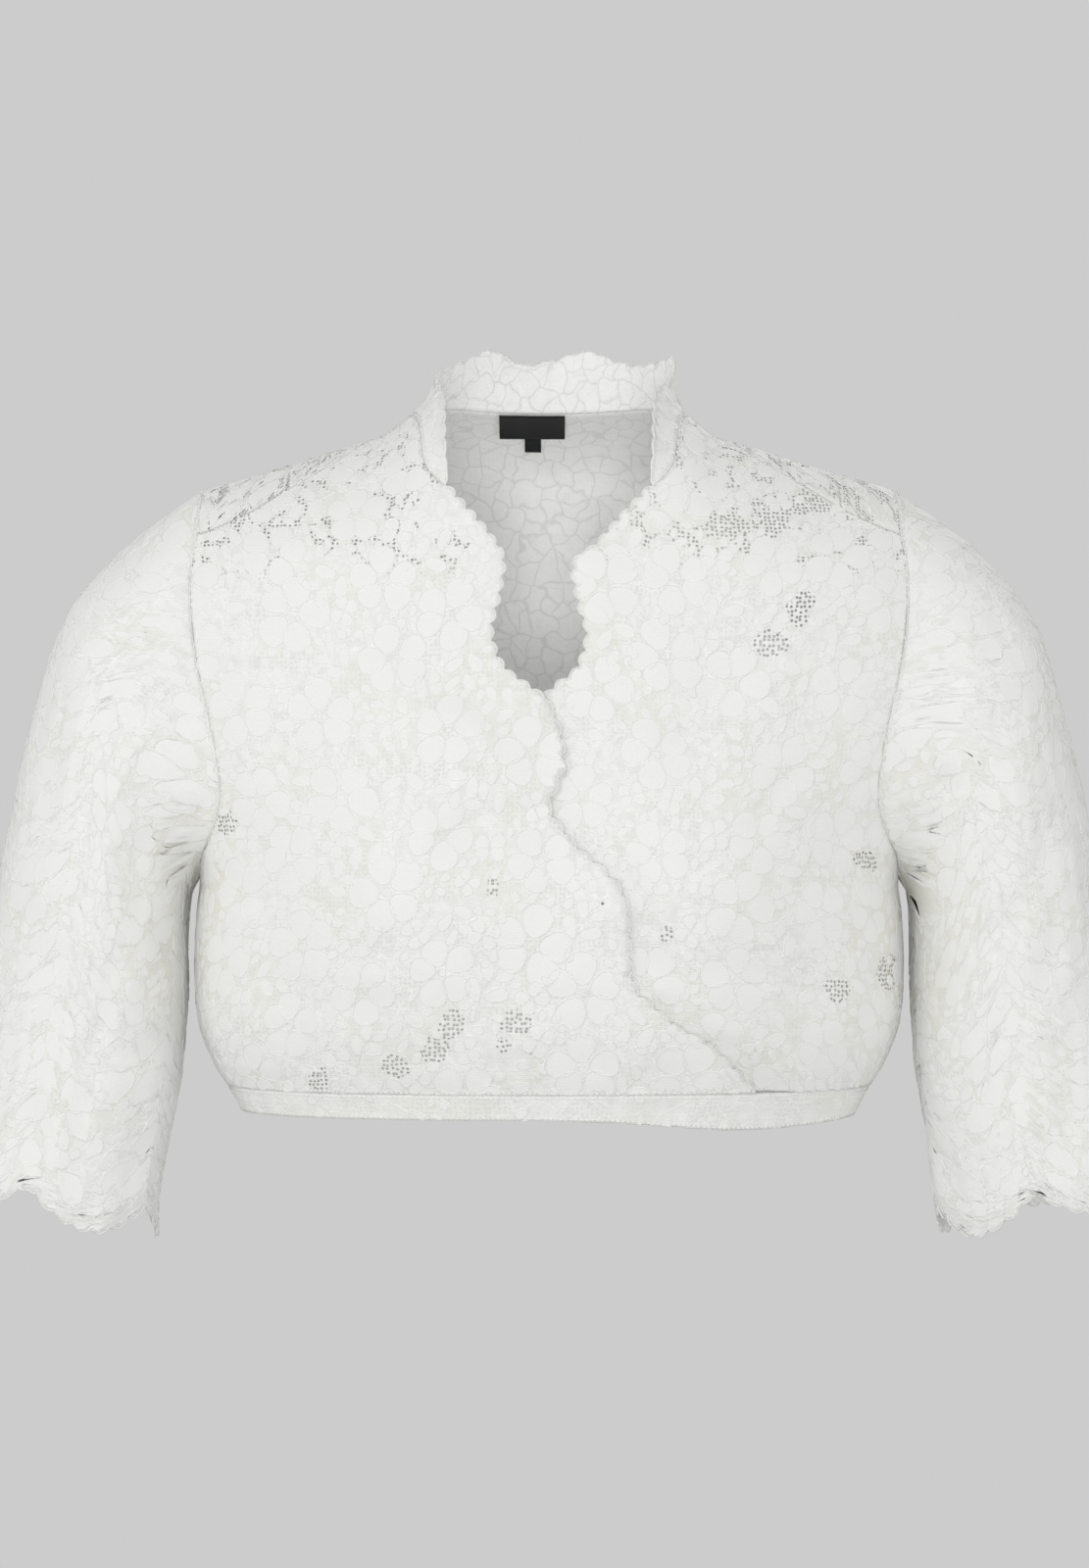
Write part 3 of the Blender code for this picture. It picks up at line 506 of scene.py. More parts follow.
def lace_material(name):
    """White lace: mostly closed cloth stitch with faint outlines, and a fine net with round holes."""
    made = plain_material(name, THREAD, 0.8)
    n = Nodes(made.node_tree)
    shader = made.node_tree.nodes["Principled BSDF"]
    shader.inputs["Sheen Weight"].default_value = SHEEN
    cut = n.add("ShaderNodeUVMap", {"uv_map": "UVMap"}).outputs[0]
    sway = n.noise(cut, 70.0, 1.0)[1]
    moved = n.add("ShaderNodeVectorMath", {"operation": "MULTIPLY_ADD"}, i0=sway, i1=(SWAY, SWAY, 0.0),
                  i2=cut).outputs[0]
    edge = n.cells("DISTANCE_TO_EDGE", moved, OUTLINE_PITCH, 0.9)
    outline = n.less(n.ramp(edge, 0.0, 0.045))
    beside = n.less(n.ramp(edge, 0.15, 0.18))
    net = n.cells("F1", cut, NET_PITCH, 0.5)
    hole = n.less(n.ramp(net, NET_HOLE - 0.03, NET_HOLE + 0.05))
    # net in chains along the outlines where the lace is sheer, and in ragged marked groups
    patches = n.noise(cut, 45.0, 1.0, Roughness=0.4)[0]
    chains = n.times(n.times(beside, n.ramp(patches, 0.44, 0.49)), n.mark("sheer"))
    ragged = n.times(n.math("SUBTRACT", patches, 0.5), 3.0, n.mark("open"))
    ragged = n.times(n.ramp(ragged, 0.5, 0.62), n.ramp(n.mark("open"), 0.02, 0.1))
    netted = n.times(n.math("MAXIMUM", chains, ragged), n.less(n.mark("border")))
    made.node_tree.links.new(n.less(n.times(hole, netted)), shader.inputs["Alpha"])
    # outer side: bright outlines on a softer ground, with a faint net whose holes are painted darker: painted
    # shade of the inside seen through them
    wide = n.noise(cut, 150.0, 3.0)[0]
    tone = n.times(outline, 0.45, n.times(wide, 1.3, -0.12))
    # painted shade: in the net's patches each hole is painted darker, standing in for the shade seen through
    # it
    tone = n.times(n.times(hole, n.ramp(patches, 0.42, 0.60)), -0.5, tone, clamp=True)
    age = n.ramp(n.noise(cut, 22.0, 2.0)[0], 0.42, 0.62)
    warm = n.times(age, 0.35, n.times(n.mark("cream"), 0.6), clamp=True)
    outer = n.blend(warm, n.blend(tone, GROUND, THREAD), CREAM)
    # inner side: thin darker lines where the flowers' backs meet; the lines follow the lace's own outlines,
    # and their darkness is painted shade of cords holding back the light that comes through
    crackle = n.less(n.ramp(n.cells("DISTANCE_TO_EDGE", moved, CRACKLE_PITCH, 1.0), 0.0, 0.10))
    inner = n.blend(n.times(wide, 0.25, n.times(crackle, 0.42)), THREAD, SHADE)
    rows = n.ribs(cut, 260.0, 1.2, 2.0, 1.5)
    height = n.times(hole, -0.3, n.times(rows, 0.25, n.times(outline, 0.5, n.times(wide, 0.5))))
    n.cloth_finish(n.blend(n.mark("inside"), outer, inner), height, 0.55, 0.0005)
    return made


lace = lace_material("lace_ground")


def cord_material(name):
    """Bright thicker thread of the flowers, with the fine ribs of its stitches."""
    made = plain_material(name, THREAD, 0.72)
    n = Nodes(made.node_tree)
    made.node_tree.nodes["Principled BSDF"].inputs["Sheen Weight"].default_value = SHEEN
    flat = n.mark("flat", "Vector")
    ribs = n.ribs(flat, 330.0, 1.6, 1.0, 2.0)
    fuzz = n.add("ShaderNodeTexNoise", Vector=flat, Scale=900.0, Detail=2.0).outputs[0]
    colour = n.blend(n.times(ribs, 0.35, n.times(fuzz, 0.65)), CORD_SHADE, THREAD)
    n.cloth_finish(colour, n.times(ribs, 0.6, n.times(fuzz, 0.4)), 0.3, 0.0003)
    return made


cord = cord_material("lace_cord")


def ridge(path, closed):
    """A rounded thread along a flat path, lying on the cloth: its points and faces."""
    path = np.array(path, float)
    count = len(path)
    if closed:
        run = np.roll(path, -1, axis=0) - np.roll(path, 1, axis=0)
    else:
        run = np.gradient(path, axis=0)
    run /= np.linalg.norm(run, axis=1, keepdims=True)
    side = np.column_stack([-run[:, 1], run[:, 0]]) * CORD_RADIUS
    low = np.full(count, -0.25 * CORD_RADIUS)
    ring = [np.column_stack([path + side, low]), np.column_stack([path, low + 1.7 * CORD_RADIUS]),
            np.column_stack([path - side, low])]
    points = np.stack(ring, 1).reshape(-1, 3)
    faces = []
    for k in range(count if closed else count - 1):
        a, b = 3 * k, 3 * ((k + 1) % count)
        faces += [[a + s, a + s + 1, b + s + 1, b + s] for s in range(2)]
    return points, faces


def pad(path):
    """A low pad of cloth stitch inside a closed flat path."""
    path = np.array(path, float)
    middle = path.mean(0)
    half = middle + (path - middle) * 0.5
    count = len(path)
    points = np.vstack([np.column_stack([path, np.zeros(count)]),
                        np.column_stack([half, np.full(count, PAD_HEIGHT * 0.8)]),
                        [[*middle, PAD_HEIGHT]]])
    faces = []
    for k in range(count):
        after = (k + 1) % count
        faces += [[k, after, count + after, count + k], [count + k, count + after, 2 * count]]
    return points, faces


def joined(parts):
    points, faces, start = [], [], 0
    for part_points, part_faces in parts:
        points.append(part_points)
        faces += [[start + v for v in f] for f in part_faces]
        start += len(part_points)
    return np.vstack(points), faces


def turned(path, angle, shift=(0, 0)):
    c, s = math.cos(angle), math.sin(angle)
    return np.array(path) @ np.array([[c, s], [-s, c]]) + np.array(shift)


def petal(inner, outer, width, count):
    """Outline of a rounded petal that points along +X."""
    t = np.linspace(0, 2 * math.pi, count, endpoint=False)
    x = (inner + outer) / 2 - (outer - inner) / 2 * np.cos(t)
    swell = np.sin(t) * (1 + 0.28 * -np.cos(t))
    return np.column_stack([x, width / 2 * swell])


CORD_RADIUS, PAD_HEIGHT = 0.3, 0.16
# a turn off its even place, and a size
PETALS = [(0.1, 1), (-0.08, 0.93), (0.05, 1.04), (-0.1, 0.97), (0.07, 1.02)]
# place along the stalk, turn and size
LEAVES = [(-7, 0.85, 1.0), (-4, -0.9, 0.95), (4, 0.75, 0.9), (6, -0.75, 0.8)]
flower_parts = [ridge(turned(petal(0, 5.0, 5.0, 7), 0, (-2.5, 0)), True)]
for k, (off, size) in enumerate(PETALS):
    angle = k * 2 * math.pi / len(PETALS) + off
    flower_parts.append(ridge(turned(petal(3.4, 20.0 * size, 15.0 * size, 14), angle), True))
    flower_parts.append(pad(turned(petal(3.8, 19.4 * size, 14.2 * size, 14), angle)))
stalk = np.column_stack([np.linspace(-14, 12, 8), 3.4 * np.sin(np.linspace(0, 2.6, 8))])
leaf_parts = [ridge(stalk, False)]
for at, angle, size in LEAVES:
    leaf = turned(petal(0.8, 13.5 * size, 6.8 * size, 10), angle, (at, 1.8))
    leaf_parts += [ridge(leaf, True), pad(leaf)]
small_parts = []
for k in range(4):
    leaf = turned(petal(0.8, 8.6, 7.0, 9), k * math.pi / 2 + 0.3 * (k % 2))
    small_parts += [ridge(leaf, True), pad(leaf)]
bud = petal(-3.4, 3.4, 4.4, 8)
bud_parts = [ridge(bud, True), pad(bud)]
stitch_parts = [ridge(np.column_stack([np.linspace(-0.85, 0.85, 3), np.zeros(3)]), False)]
# name, parts, radius it takes up, tries for each radius squared of cloth, how far it keeps others off
MOTIFS = [
    ("a_flower", flower_parts, 19.0, 5.0, 0.98), ("b_leaves", leaf_parts, 12.5, 5.0, 0.86),
    ("c_small", small_parts, 8.4, 4.0, 0.92), ("d_bud", bud_parts, 3.4, 1.2, 0.86),
    ("e_stitch", stitch_parts, 1.0, 0.0, 0.0),
]
STITCH_KIND, JITTER = len(MOTIFS) - 1, (0.92, 1.08)
motifs = bpy.data.collections.new("motifs")
for name, parts, *_ in MOTIFS:
    points, faces = joined(parts)
    motif = make_object(name, points, faces)
    scene.collection.objects.unlink(motif)
    motifs.objects.link(motif)


def lace_work_tree():
    """Sets the marked motifs at flat points and wraps them onto the cloth they were cut with."""
    tree = bpy.data.node_groups.new("lace_work", "GeometryNodeTree")
    for name, kind in (("Geometry", "NodeSocketGeometry"), ("Cloth", "NodeSocketObject"),
                       ("Motifs", "NodeSocketCollection"), ("Lift", "NodeSocketFloat"),
                       ("Material", "NodeSocketMaterial"), ("Seed", "NodeSocketInt")):
        tree.interface.new_socket(name, in_out="INPUT", socket_type=kind)
    tree.interface.new_socket("Geometry", in_out="OUTPUT", socket_type="NodeSocketGeometry")
    n = Nodes(tree)
    given = n.add("NodeGroupInput").outputs

    def named(name, kind):
        return n.add("GeometryNodeInputNamedAttribute", {"data_type": kind}, Name=name).outputs[0]

    # motifs on their flat places
    kinds = n.add("GeometryNodeCollectionInfo", Collection=given["Motifs"], Separate_Children=True,
                  Reset_Children=True).outputs[0]
    jitter = n.add("FunctionNodeRandomValue", {"data_type": "FLOAT"}, i2=JITTER[0], i3=JITTER[1],
                   Seed=given["Seed"]).outputs[1]
    size = n.math("MULTIPLY", named("size", "FLOAT"), jitter)
    angle = n.add("ShaderNodeCombineXYZ", Z=named("turn", "FLOAT")).outputs[0]
    placed = n.add("GeometryNodeInstanceOnPoints", Points=given["Geometry"], Instance=kinds,
                   Pick_Instance=True, Instance_Index=named("kind", "INT"), Rotation=angle,
                   Scale=size).outputs[0]
    real = n.add("GeometryNodeRealizeInstances", Geometry=placed).outputs[0]
    place = n.add("GeometryNodeInputPosition").outputs[0]
    settings = {"data_type": "FLOAT_VECTOR", "domain": "POINT"}
    kept = n.add("GeometryNodeStoreNamedAttribute", settings, Geometry=real, Name="flat",
                 Value=place).outputs[0]
    # the same places on the hanging cloth
    parts = n.add("ShaderNodeSeparateXYZ", Vector=named("flat", "FLOAT_VECTOR")).outputs
    spot = n.add("ShaderNodeCombineXYZ", X=parts[0], Y=parts[1]).outputs[0]
    hanging = n.add("GeometryNodeObjectInfo", {"transform_space": "ORIGINAL"},
                    Object=given["Cloth"]).outputs["Geometry"]
    uv = named("UVMap", "FLOAT_VECTOR")
    on_cloth, square = (n.add("GeometryNodeSampleUVSurface", {"data_type": "FLOAT_VECTOR"}, Mesh=hanging,
                              Value=n.add(kind).outputs[0], Source_UV_Map=uv, Sample_UV=spot).outputs
                        for kind in ("GeometryNodeInputPosition", "GeometryNodeInputNormal"))
    raised = n.math("ADD", parts[2], given["Lift"])
    out = n.add("ShaderNodeVectorMath", {"operation": "SCALE"}, i0=square["Value"], Scale=raised).outputs[0]
    at = n.add("ShaderNodeVectorMath", {"operation": "ADD"}, i0=on_cloth["Value"], i1=out).outputs[0]
    missed = n.add("FunctionNodeBooleanMath", {"operation": "NOT"}, i0=on_cloth["Is Valid"]).outputs[0]
    trimmed = n.add("GeometryNodeDeleteGeometry", {"domain": "POINT"}, Geometry=kept,
                    Selection=missed).outputs[0]
    wrapped = n.add("GeometryNodeSetPosition", Geometry=trimmed, Selection=on_cloth["Is Valid"],
                    Position=at).outputs[0]
    painted = n.add("GeometryNodeSetMaterial", Geometry=wrapped, Material=given["Material"]).outputs[0]
    tree.links.new(painted, n.add("NodeGroupOutput").inputs[0])
    return tree


work_tree = lace_work_tree()


def plain_mesh(name, source, tree, values):
    """The evaluated result of a geometry tree on an object, as a plain object."""
    modifier = source.modifiers.new("work", "NODES")
    modifier.node_group = tree
    for item in tree.interface.items_tree:
        if item.in_out == "INPUT" and item.name in values:
            modifier[item.identifier] = values[item.name]
    graph = bpy.context.evaluated_depsgraph_get()
    mesh = bpy.data.meshes.new_from_object(source.evaluated_get(graph), depsgraph=graph)
    mesh.name = name
    source.modifiers.remove(modifier)
    bpy.data.objects.remove(source)
    made = bpy.data.objects.new(name, mesh)
    scene.collection.objects.link(made)
    mesh.shade_smooth()
    return made


# search cell, how near the cloth's own points a motif lies, gap to a free edge, gap between motifs
CELL, NEAR_CLOTH, EDGE_CLEAR, CLOSENESS, FLOWER_SPACING = 8, 5, 2.5, 0.86, 1.06
MOTIF_SIZES = (0.88, 1.06)


def scattered(flat_points, edge_points, seed, clear=(), edge_gap=0.0):
    """Flat places of the motifs, the largest first, each clear of those already there."""
    picks = np.random.default_rng(seed)
    cells = {}
    for k, (column, row) in enumerate(flat_points // CELL):
        cells.setdefault((int(column), int(row)), []).append(k)
    low, high = flat_points.min(0), flat_points.max(0)
    taken = np.zeros((0, 3))
    rows = []
    area = float(np.prod(high - low))
    for kind, (_, _, radius, tries, keep_off) in enumerate(MOTIFS[:STITCH_KIND]):
        reach = radius * CLOSENESS * (FLOWER_SPACING if kind == 0 else 1)
        for spot in picks.uniform(low, high, (int(area / radius**2 * tries), 2)):
            near = cells.get((int(spot[0] // CELL), int(spot[1] // CELL)))
            if not near or np.min(np.linalg.norm(flat_points[near] - spot, axis=1)) > NEAR_CLOTH:
                continue
            edge_away = np.min(np.linalg.norm(edge_points - spot, axis=1)) if edge_gap else math.inf
            if edge_away < radius * edge_gap + EDGE_CLEAR:
                continue
            if any(math.hypot(spot[0] - x, spot[1] - y) < r + radius * 0.8 for x, y, r in clear):
                continue
            away = np.hypot(taken[:, 0] - spot[0], taken[:, 1] - spot[1]) - taken[:, 2] * keep_off
            if len(taken) and np.min(away) < reach:
                continue
            taken = np.vstack([taken, [*spot, radius]])
            rows.append((*spot, kind, picks.uniform(0, 2 * math.pi), picks.uniform(*MOTIF_SIZES)))
    return rows


def stitched(path, inside, gap, inset):
    """A row of stitches along the flat edge of a piece, moved in toward the next points of its grid."""
    way = inside - path
    path = path + way / np.maximum(np.linalg.norm(way, axis=1, keepdims=True), 1e-9) * inset
    reach = reach_along(path)
    want = np.arange(gap / 2, reach[-1], gap)
    spots = np.column_stack([np.interp(want, reach, path[:, c]) for c in (0, 1)])
    run = np.gradient(spots, axis=0)
    return [(x, y, STITCH_KIND, math.atan2(r[1], r[0]), 1.0) for (x, y), r in zip(spots, run)]


MOTIF_LIFT, EDGE_STITCH, SEAM_STITCH = 0.04, 1.55, 2.7


def lace_work(name, layer, rows, seed):
    """Flowers, leaves and stitches as raised thread on a piece of cloth."""
    rows = np.array(rows)
    host = make_object(name + "_places", np.column_stack([rows[:, :2], np.zeros(len(rows))]), [])
    for mark, kind, column in (("kind", "INT", 2), ("turn", "FLOAT", 3), ("size", "FLOAT", 4)):
        kept = host.data.attributes.new(mark, kind, "POINT")
        kept.data.foreach_set("value", rows[:, column].astype(np.int32 if kind == "INT" else np.float32))
    made = plain_mesh(name, host, work_tree, {"Cloth": layer, "Motifs": motifs, "Lift": MOTIF_LIFT * MM,
                                              "Material": cord, "Seed": seed})
    bpy.data.objects.remove(layer)
    return made


def finish_piece(piece, extra, node):
    """Hides the matching part of the model and ties a piece and what is sewn on it to the blouse."""
    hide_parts(node)
    for part in [piece, *extra]:
        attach(part, "root")


def drawn_in(grid, left, right, low, high):
    """A grid whose seam edges are drawn back by half the gap between pieces."""
    result = grid.copy()
    for drawn, edge, inside in ((left, np.s_[:, 0], np.s_[:, 1]), (right, np.s_[:, -1], np.s_[:, -2]),
                                (low, np.s_[0], np.s_[1]), (high, np.s_[-1], np.s_[-2])):
        if drawn:
            way = grid[inside] - grid[edge]
            way /= np.maximum(np.linalg.norm(way, axis=-1, keepdims=True), 1e-9)
            result[edge] += way * SEAM_GAP / 2
    return result


# places in the pattern where the net shows: x, level, radius
OPEN_SPOTS = [
    (86, -53, 7), (100, -54, 6), (118, -52, 7), (134, -45, 5), (144, -40, 8), (161, -36, 5), (176, -38, 6),
    (183, -52, 8), (202, -55, 5), (131, -103, 6), (115, -120, 8), (136, -94, 5), (-30, -247, 6),
    (-50, -315, 6), (-27, -330, 9), (-59, -329, 6), (-81, -336, 6), (-120, -346, 5), (-16, -314, 5),
    (168, -232, 6), (176, -290, 8), (-169, -214, 6), (31, -250, 7), (150, -300, 5), (60, -268, 5),
]


ON_PIECE, BORDER_WIDE = 3, 4.0
# middle and spread of the creamy places: out from the middle, and level
CREAM_AT, CREAM_SPREAD = (186, -250), (26, 60)
YOKE_FOOT, YOKE_FADE = -84, 12


def open_marks(spots, flat):
    """Where the net shows, as a mark on each spot and as flat circles."""
    mark = np.zeros(spots.shape[:2])
    circles = []
    for x, level, radius in OPEN_SPOTS:
        away = np.hypot(spots[..., 0] - x, spots[..., 1] - level)
        mark = np.maximum(mark, np.clip(1.5 - away / radius, 0, 1))
        if away.min() < ON_PIECE:
            j, i = np.unravel_index(np.argmin(away), away.shape)
            circles.append((*flat[j, i], radius))
    return mark, circles


def border_mark(flat, edge):
    """How near each point lies to a free edge of the lace, 1 at the edge."""
    away = np.full(flat.shape[:2], np.inf)
    for x, y in edge[::3]:
        away = np.minimum(away, np.hypot(flat[..., 0] - x, flat[..., 1] - y))
    return np.clip(1.6 - away / BORDER_WIDE, 0, 1)


def creamy(spots):
    """Where the lace looks creamier: the underarms and down the sides."""
    away = (np.stack([np.abs(spots[..., 0]), spots[..., 1]], -1) - CREAM_AT) / CREAM_SPREAD
    return np.exp(-(away**2).sum(-1))


def make_front(name, side, lap, neck, lap_scallops, under, seed):
    spots = front_spots(side, lap, neck, lap_scallops)
    whole = on_body(spots[..., 0], spots[..., 1])
    grid = drawn_in(whole, False, True, True, True)
    collar_from = len(front_rows) - COLLAR_FINE * COLLAR_CAD_ROWS
    way = whole[collar_from:, 1] - whole[collar_from:, 0]
    grid[collar_from:, 0] += way / np.linalg.norm(way, axis=1, keepdims=True) * SEAM_GAP / 2
    flat = laid_flat(spots)
    square = outward_normals(grid, CORE)
    if under:
        grid = grid - square * under_the_lap(spots[..., 0], spots[..., 1])[..., None]
    mark, circles = open_marks(spots, flat)
    edge, beside = flat[:collar_from, 0], flat[:collar_from, 1]
    free_edge = edge if lap_scallops else edge[LAP_ROWS * EDGE_FINE:]
    marks = {"open": mark, "border": border_mark(flat, free_edge), "cream": creamy(spots),
             "sheer": eased((spots[..., 1] - YOKE_FOOT) / YOKE_FADE)}
    shell, layer = cloth("lace_front_" + name, grid, flat, LACE_WALL, lace, CORE, marks=marks)
    rows = scattered(flat.reshape(-1, 2), edge, seed, circles, edge_gap=0.55)
    rows += stitched(edge, beside, EDGE_STITCH, 0.5)
    seams = ((flat[collar_from:, 0], flat[collar_from:, 1], 1.6), (flat[-1], flat[-2], 2.0),
             (flat[0], flat[1], 1.5), (flat[:, -1], flat[:, -2], 2.0))
    for line, inside, inset in seams:
        rows += stitched(line, inside, SEAM_STITCH, inset)
    work = lace_work("lace_work_front_" + name, layer, rows, seed)
    finish_piece(shell, [work], "front_" + name)
    last = int(np.searchsorted(front_rows, LINING_ROWS))
    behind = (grid - square * LINING_DEPTH)[:last + 1, LINING_FROM:]
    lining_flat = flat[:last + 1, LINING_FROM:]
    lined, lined_layer = cloth("lining_front_" + name, behind, lining_flat, LINING_WALL, lining_cloth, CORE)
    bpy.data.objects.remove(lined_layer)
    finish_piece(lined, [], "lining_" + name)
    return whole


def lining_material():
    """Plain woven cotton, a little greyer than the lace."""
    made = plain_material("lining_cloth", (0.86, 0.86, 0.84), 0.8)
    n = Nodes(made.node_tree)
    cut = n.add("ShaderNodeUVMap", {"uv_map": "UVMap"}).outputs[0]
    weave = n.add("ShaderNodeTexChecker", Vector=cut, Scale=1800.0).outputs["Fac"]
    soft = n.noise(cut, 90.0, 3.0)[0]
    tone = n.blend(soft, (0.83, 0.83, 0.81), (0.88, 0.88, 0.86))
    n.cloth_finish(tone, n.times(weave, 0.3, soft), 0.25, 0.0004)
    return made


lining_cloth = lining_material()
BACK_CREASES = [
    (-64, -270, 44, -286, 17, -3.0), (-130, -145, -90, -255, 17, 2.4), (122, -135, 96, -268, 17, 2.4),
    (-34, -316, 100, -328, 14, 1.8), (-150, -60, -110, -110, 9, 1.2), (150, -64, 112, -120, 9, -1.2),
    (-60, -20, 50, -28, 9, -1.0), (-170, -236, -120, -214, 7, -1.5), (170, -236, 124, -216, 7, 1.5),
    (-96, -328, -90, -353, 4, -1.4), (-20, -334, -24, -353, 4, -1.3), (62, -332, 58, -353, 4, -1.4),
    (128, -336, 130, -353, 4, -1.2), (-40, -180, 60, -196, 10, 1.2), (-100, -300, -20, -306, 8, -1.2),
]
right_whole = make_front("right", -1, RIGHT_LAP, RIGHT_NECK, True, False, 11)
left_whole = make_front("left", 1, LEFT_LAP, LEFT_NECK, False, True, 12)

# Back
# One piece of the same lace. It laps forward over both shoulders and is sewn to the fronts there.
ARMHOLE_BACK = [
    UNDERARM, (186.5, -230), (182, -219), (178, -205), (177, -182), (178, -150), (180, -115), (183, -80),
    (186, -52), (ARM_TOP, -32),
]
BACK_NECK = [(0, 14), (18, 14), (36, 14.6), (52, 15), (64, 13), (NECK_SIDE, 9)]
BACK_CAD_ROWS, BACK_FINE, OVER_FINE, NECK_COLUMNS = 22, 5, 12, 22
back_rows = np.linspace(0, BACK_CAD_ROWS, BACK_CAD_ROWS * BACK_FINE + 1)


def on_back(x, level):
    return on_body(x, level, True)


side_rows = back_rows[back_rows < SIDE_ROWS]
levels = BAND_TOP + (UNDERARM[1] - BAND_TOP) * side_rows / SIDE_ROWS
arm_rows = back_rows[back_rows >= SIDE_ROWS]
back_outer = np.vstack([
    np.column_stack([body_at(levels)[:, 0], levels]),
    stations(ARMHOLE_BACK, (arm_rows - SIDE_ROWS) / (BACK_CAD_ROWS - SIDE_ROWS), on_back),
])
back_centre = stations([(0, BAND_TOP), (0, -180), BACK_NECK[0]], back_rows / BACK_CAD_ROWS, on_back)
back_top = np.vstack([
    stations(BACK_NECK, np.linspace(0, 1, NECK_COLUMNS + 1), on_back)[:-1],
    shoulder_spots(1, 0.0, FRONT_COLUMNS + 1),
])
back_outer[-1] = back_top[-1]
levels = np.full(len(back_top), BAND_TOP)
back_hem = np.column_stack([unturn(np.linspace(0, turn(*back_outer[0]), len(back_top)), levels), levels])
half = patch(back_hem, back_top, back_centre, back_outer, back_rows / BACK_CAD_ROWS)
back_spots = np.concatenate([half[:, :0:-1] * [-1, 1], half], axis=1)
back_whole = on_back(back_spots[..., 0], back_spots[..., 1])
back_flat = laid_flat(back_spots, True)
over = {side: np.stack([on_body(*shoulder_spots(side, ahead, FRONT_COLUMNS + 1).T)
                        for ahead in np.linspace(0, 1, OVER_FINE + 1)]) for side in (-1, 1)}
middle = back_whole.shape[1] // 2
# The rows over the shoulders carry the grid on; between them, at the neck, it stops
back_grid = drawn_in(back_whole, True, True, True, False)
neck_part = np.s_[middle - NECK_COLUMNS:middle + NECK_COLUMNS + 1]
way = back_whole[-2, neck_part] - back_whole[-1, neck_part]
back_grid[-1, neck_part] += way / np.linalg.norm(way, axis=1, keepdims=True) * SEAM_GAP / 2
back_cloth, back_layer = cloth("lace_back", back_grid, back_flat, LACE_WALL, lace, CORE,
                               marks={"cream": creamy(back_spots)})
rows = scattered(back_flat.reshape(-1, 2), back_flat[0], 21)
back_work = lace_work("lace_work_back", back_layer, rows, 21)
yokes, yoke_works = [], []
for side, name in ((-1, "right"), (1, "left")):
    strip = over[side]
    reach = np.linalg.norm(np.diff(strip, axis=0), axis=2)
    strip = drawn_in(strip, True, True, False, True)
    columns = middle + side * np.arange(NECK_COLUMNS, middle + 1)
    strip[0] = back_grid[-1, columns]
    start = back_flat[-1, columns]
    rise = np.concatenate([np.zeros((1, reach.shape[1])), np.cumsum(reach, axis=0)])
    strip_flat = start[None] + np.stack([np.zeros_like(rise), rise], -1)
    spots = np.stack([shoulder_spots(side, ahead, FRONT_COLUMNS + 1)
                      for ahead in np.linspace(0, 1, OVER_FINE + 1)])
    mark, circles = open_marks(spots, strip_flat)
    yoke, layer = cloth("lace_shoulder_" + name, strip, strip_flat, LACE_WALL, lace, CORE,
                        marks={"open": mark, "sheer": np.ones(mark.shape)})
    rows = scattered(strip_flat.reshape(-1, 2), strip_flat[0], 22 + side, circles)
    yokes.append(yoke)
    yoke_works.append(lace_work("lace_work_shoulder_" + name, layer, rows, 22 + side))
finish_piece(back_cloth, [back_work, *yokes, *yoke_works], "back")

# Sleeves
# Set-in elbow sleeves of the same lace, sewn into the armholes. They hang a little forward, crumple
# at the underarm and end in the lace's own large scallops.
# share of the length, outer x and level, inner x and level, half depth, how far forward
SLEEVE = [
    (0.00, 186, -32, 188, -240, 60, 0), (0.10, 214, -50, 193, -248, 63, 0),
    (0.20, 248, -77, 194.5, -258, 65, 1), (0.30, 264, -107, 195, -273, 65, 2),
    (0.44, 278, -156, 195, -294, 63, 4), (0.59, 291, -214, 195.5, -318, 60, 6),
    (0.73, 300, -270, 198, -345, 57, 8), (0.86, 309, -328, 203, -379, 53, 10),
    (1.00, 319, -393, 207, -416, 50, 12),
]
CAP_BLEND, UNDERARM_BLEND, HEM_BLEND, UNDERARM_GAP = 0.32, 0.12, 0.25, 1.2
HEM_LOBES, HEM_LOBE_DEPTH, HEM_SCALLOP_DEPTH, HEM_SCALLOPS = 5, 17.0, 2.8, 34
LOBE_PHASE = {"right": math.radians(78), "left": math.radians(98)}
SLEEVE_CREASES = {
    "right": [
        (226, -214, 197, -306, 10, -5.5), (243, -115, 214, -186, 11, -2.6), (270, -250, 214, -300, 10, 2.4),
        (250, -200, 205, -250, 6, -1.8), (236, -180, 206, -216, 5, -1.5), (262, -300, 212, -350, 8, -1.6),
        (286, -330, 240, -380, 9, 1.2), (232, -80, 214, -130, 7, 1.4), (280, -230, 262, -330, 9, -1.2),
    ],
    "left": [
        (204, -252, 197, -336, 10, -5.5), (216, -180, 205, -200, 8, -4.0), (262, -150, 232, -226, 12, 2.6),
        (240, -190, 204, -236, 6, -1.8), (262, -246, 214, -286, 7, -1.8), (270, -310, 218, -352, 8, 1.4),
        (236, -84, 216, -136, 7, 1.3), (288, -260, 276, -350, 9, -1.3), (250, -350, 232, -400, 8, 1.2),
    ],
}
SLEEVE_COLUMNS, SLEEVE_FINE = 170, 104
sleeve_at = reader(SLEEVE)


def armhole_loop(side, front_grid, over_grid, back_half):
    """The armhole from underarm to underarm, up the front: its points and their neighbours inside."""
    front = front_grid[front_rows >= SIDE_ROWS][:-1]
    shoulder = over_grid[:0:-1]
    behind = back_half[back_rows > SIDE_ROWS][::-1]
    first, second = (0, 1) if side < 0 else (-1, -2)
    edge = np.vstack([front[:, -1], shoulder[:, -1], behind[:, first]])
    inside = np.vstack([front[:, -2], shoulder[:, -2], behind[:, second]])
    return edge, inside


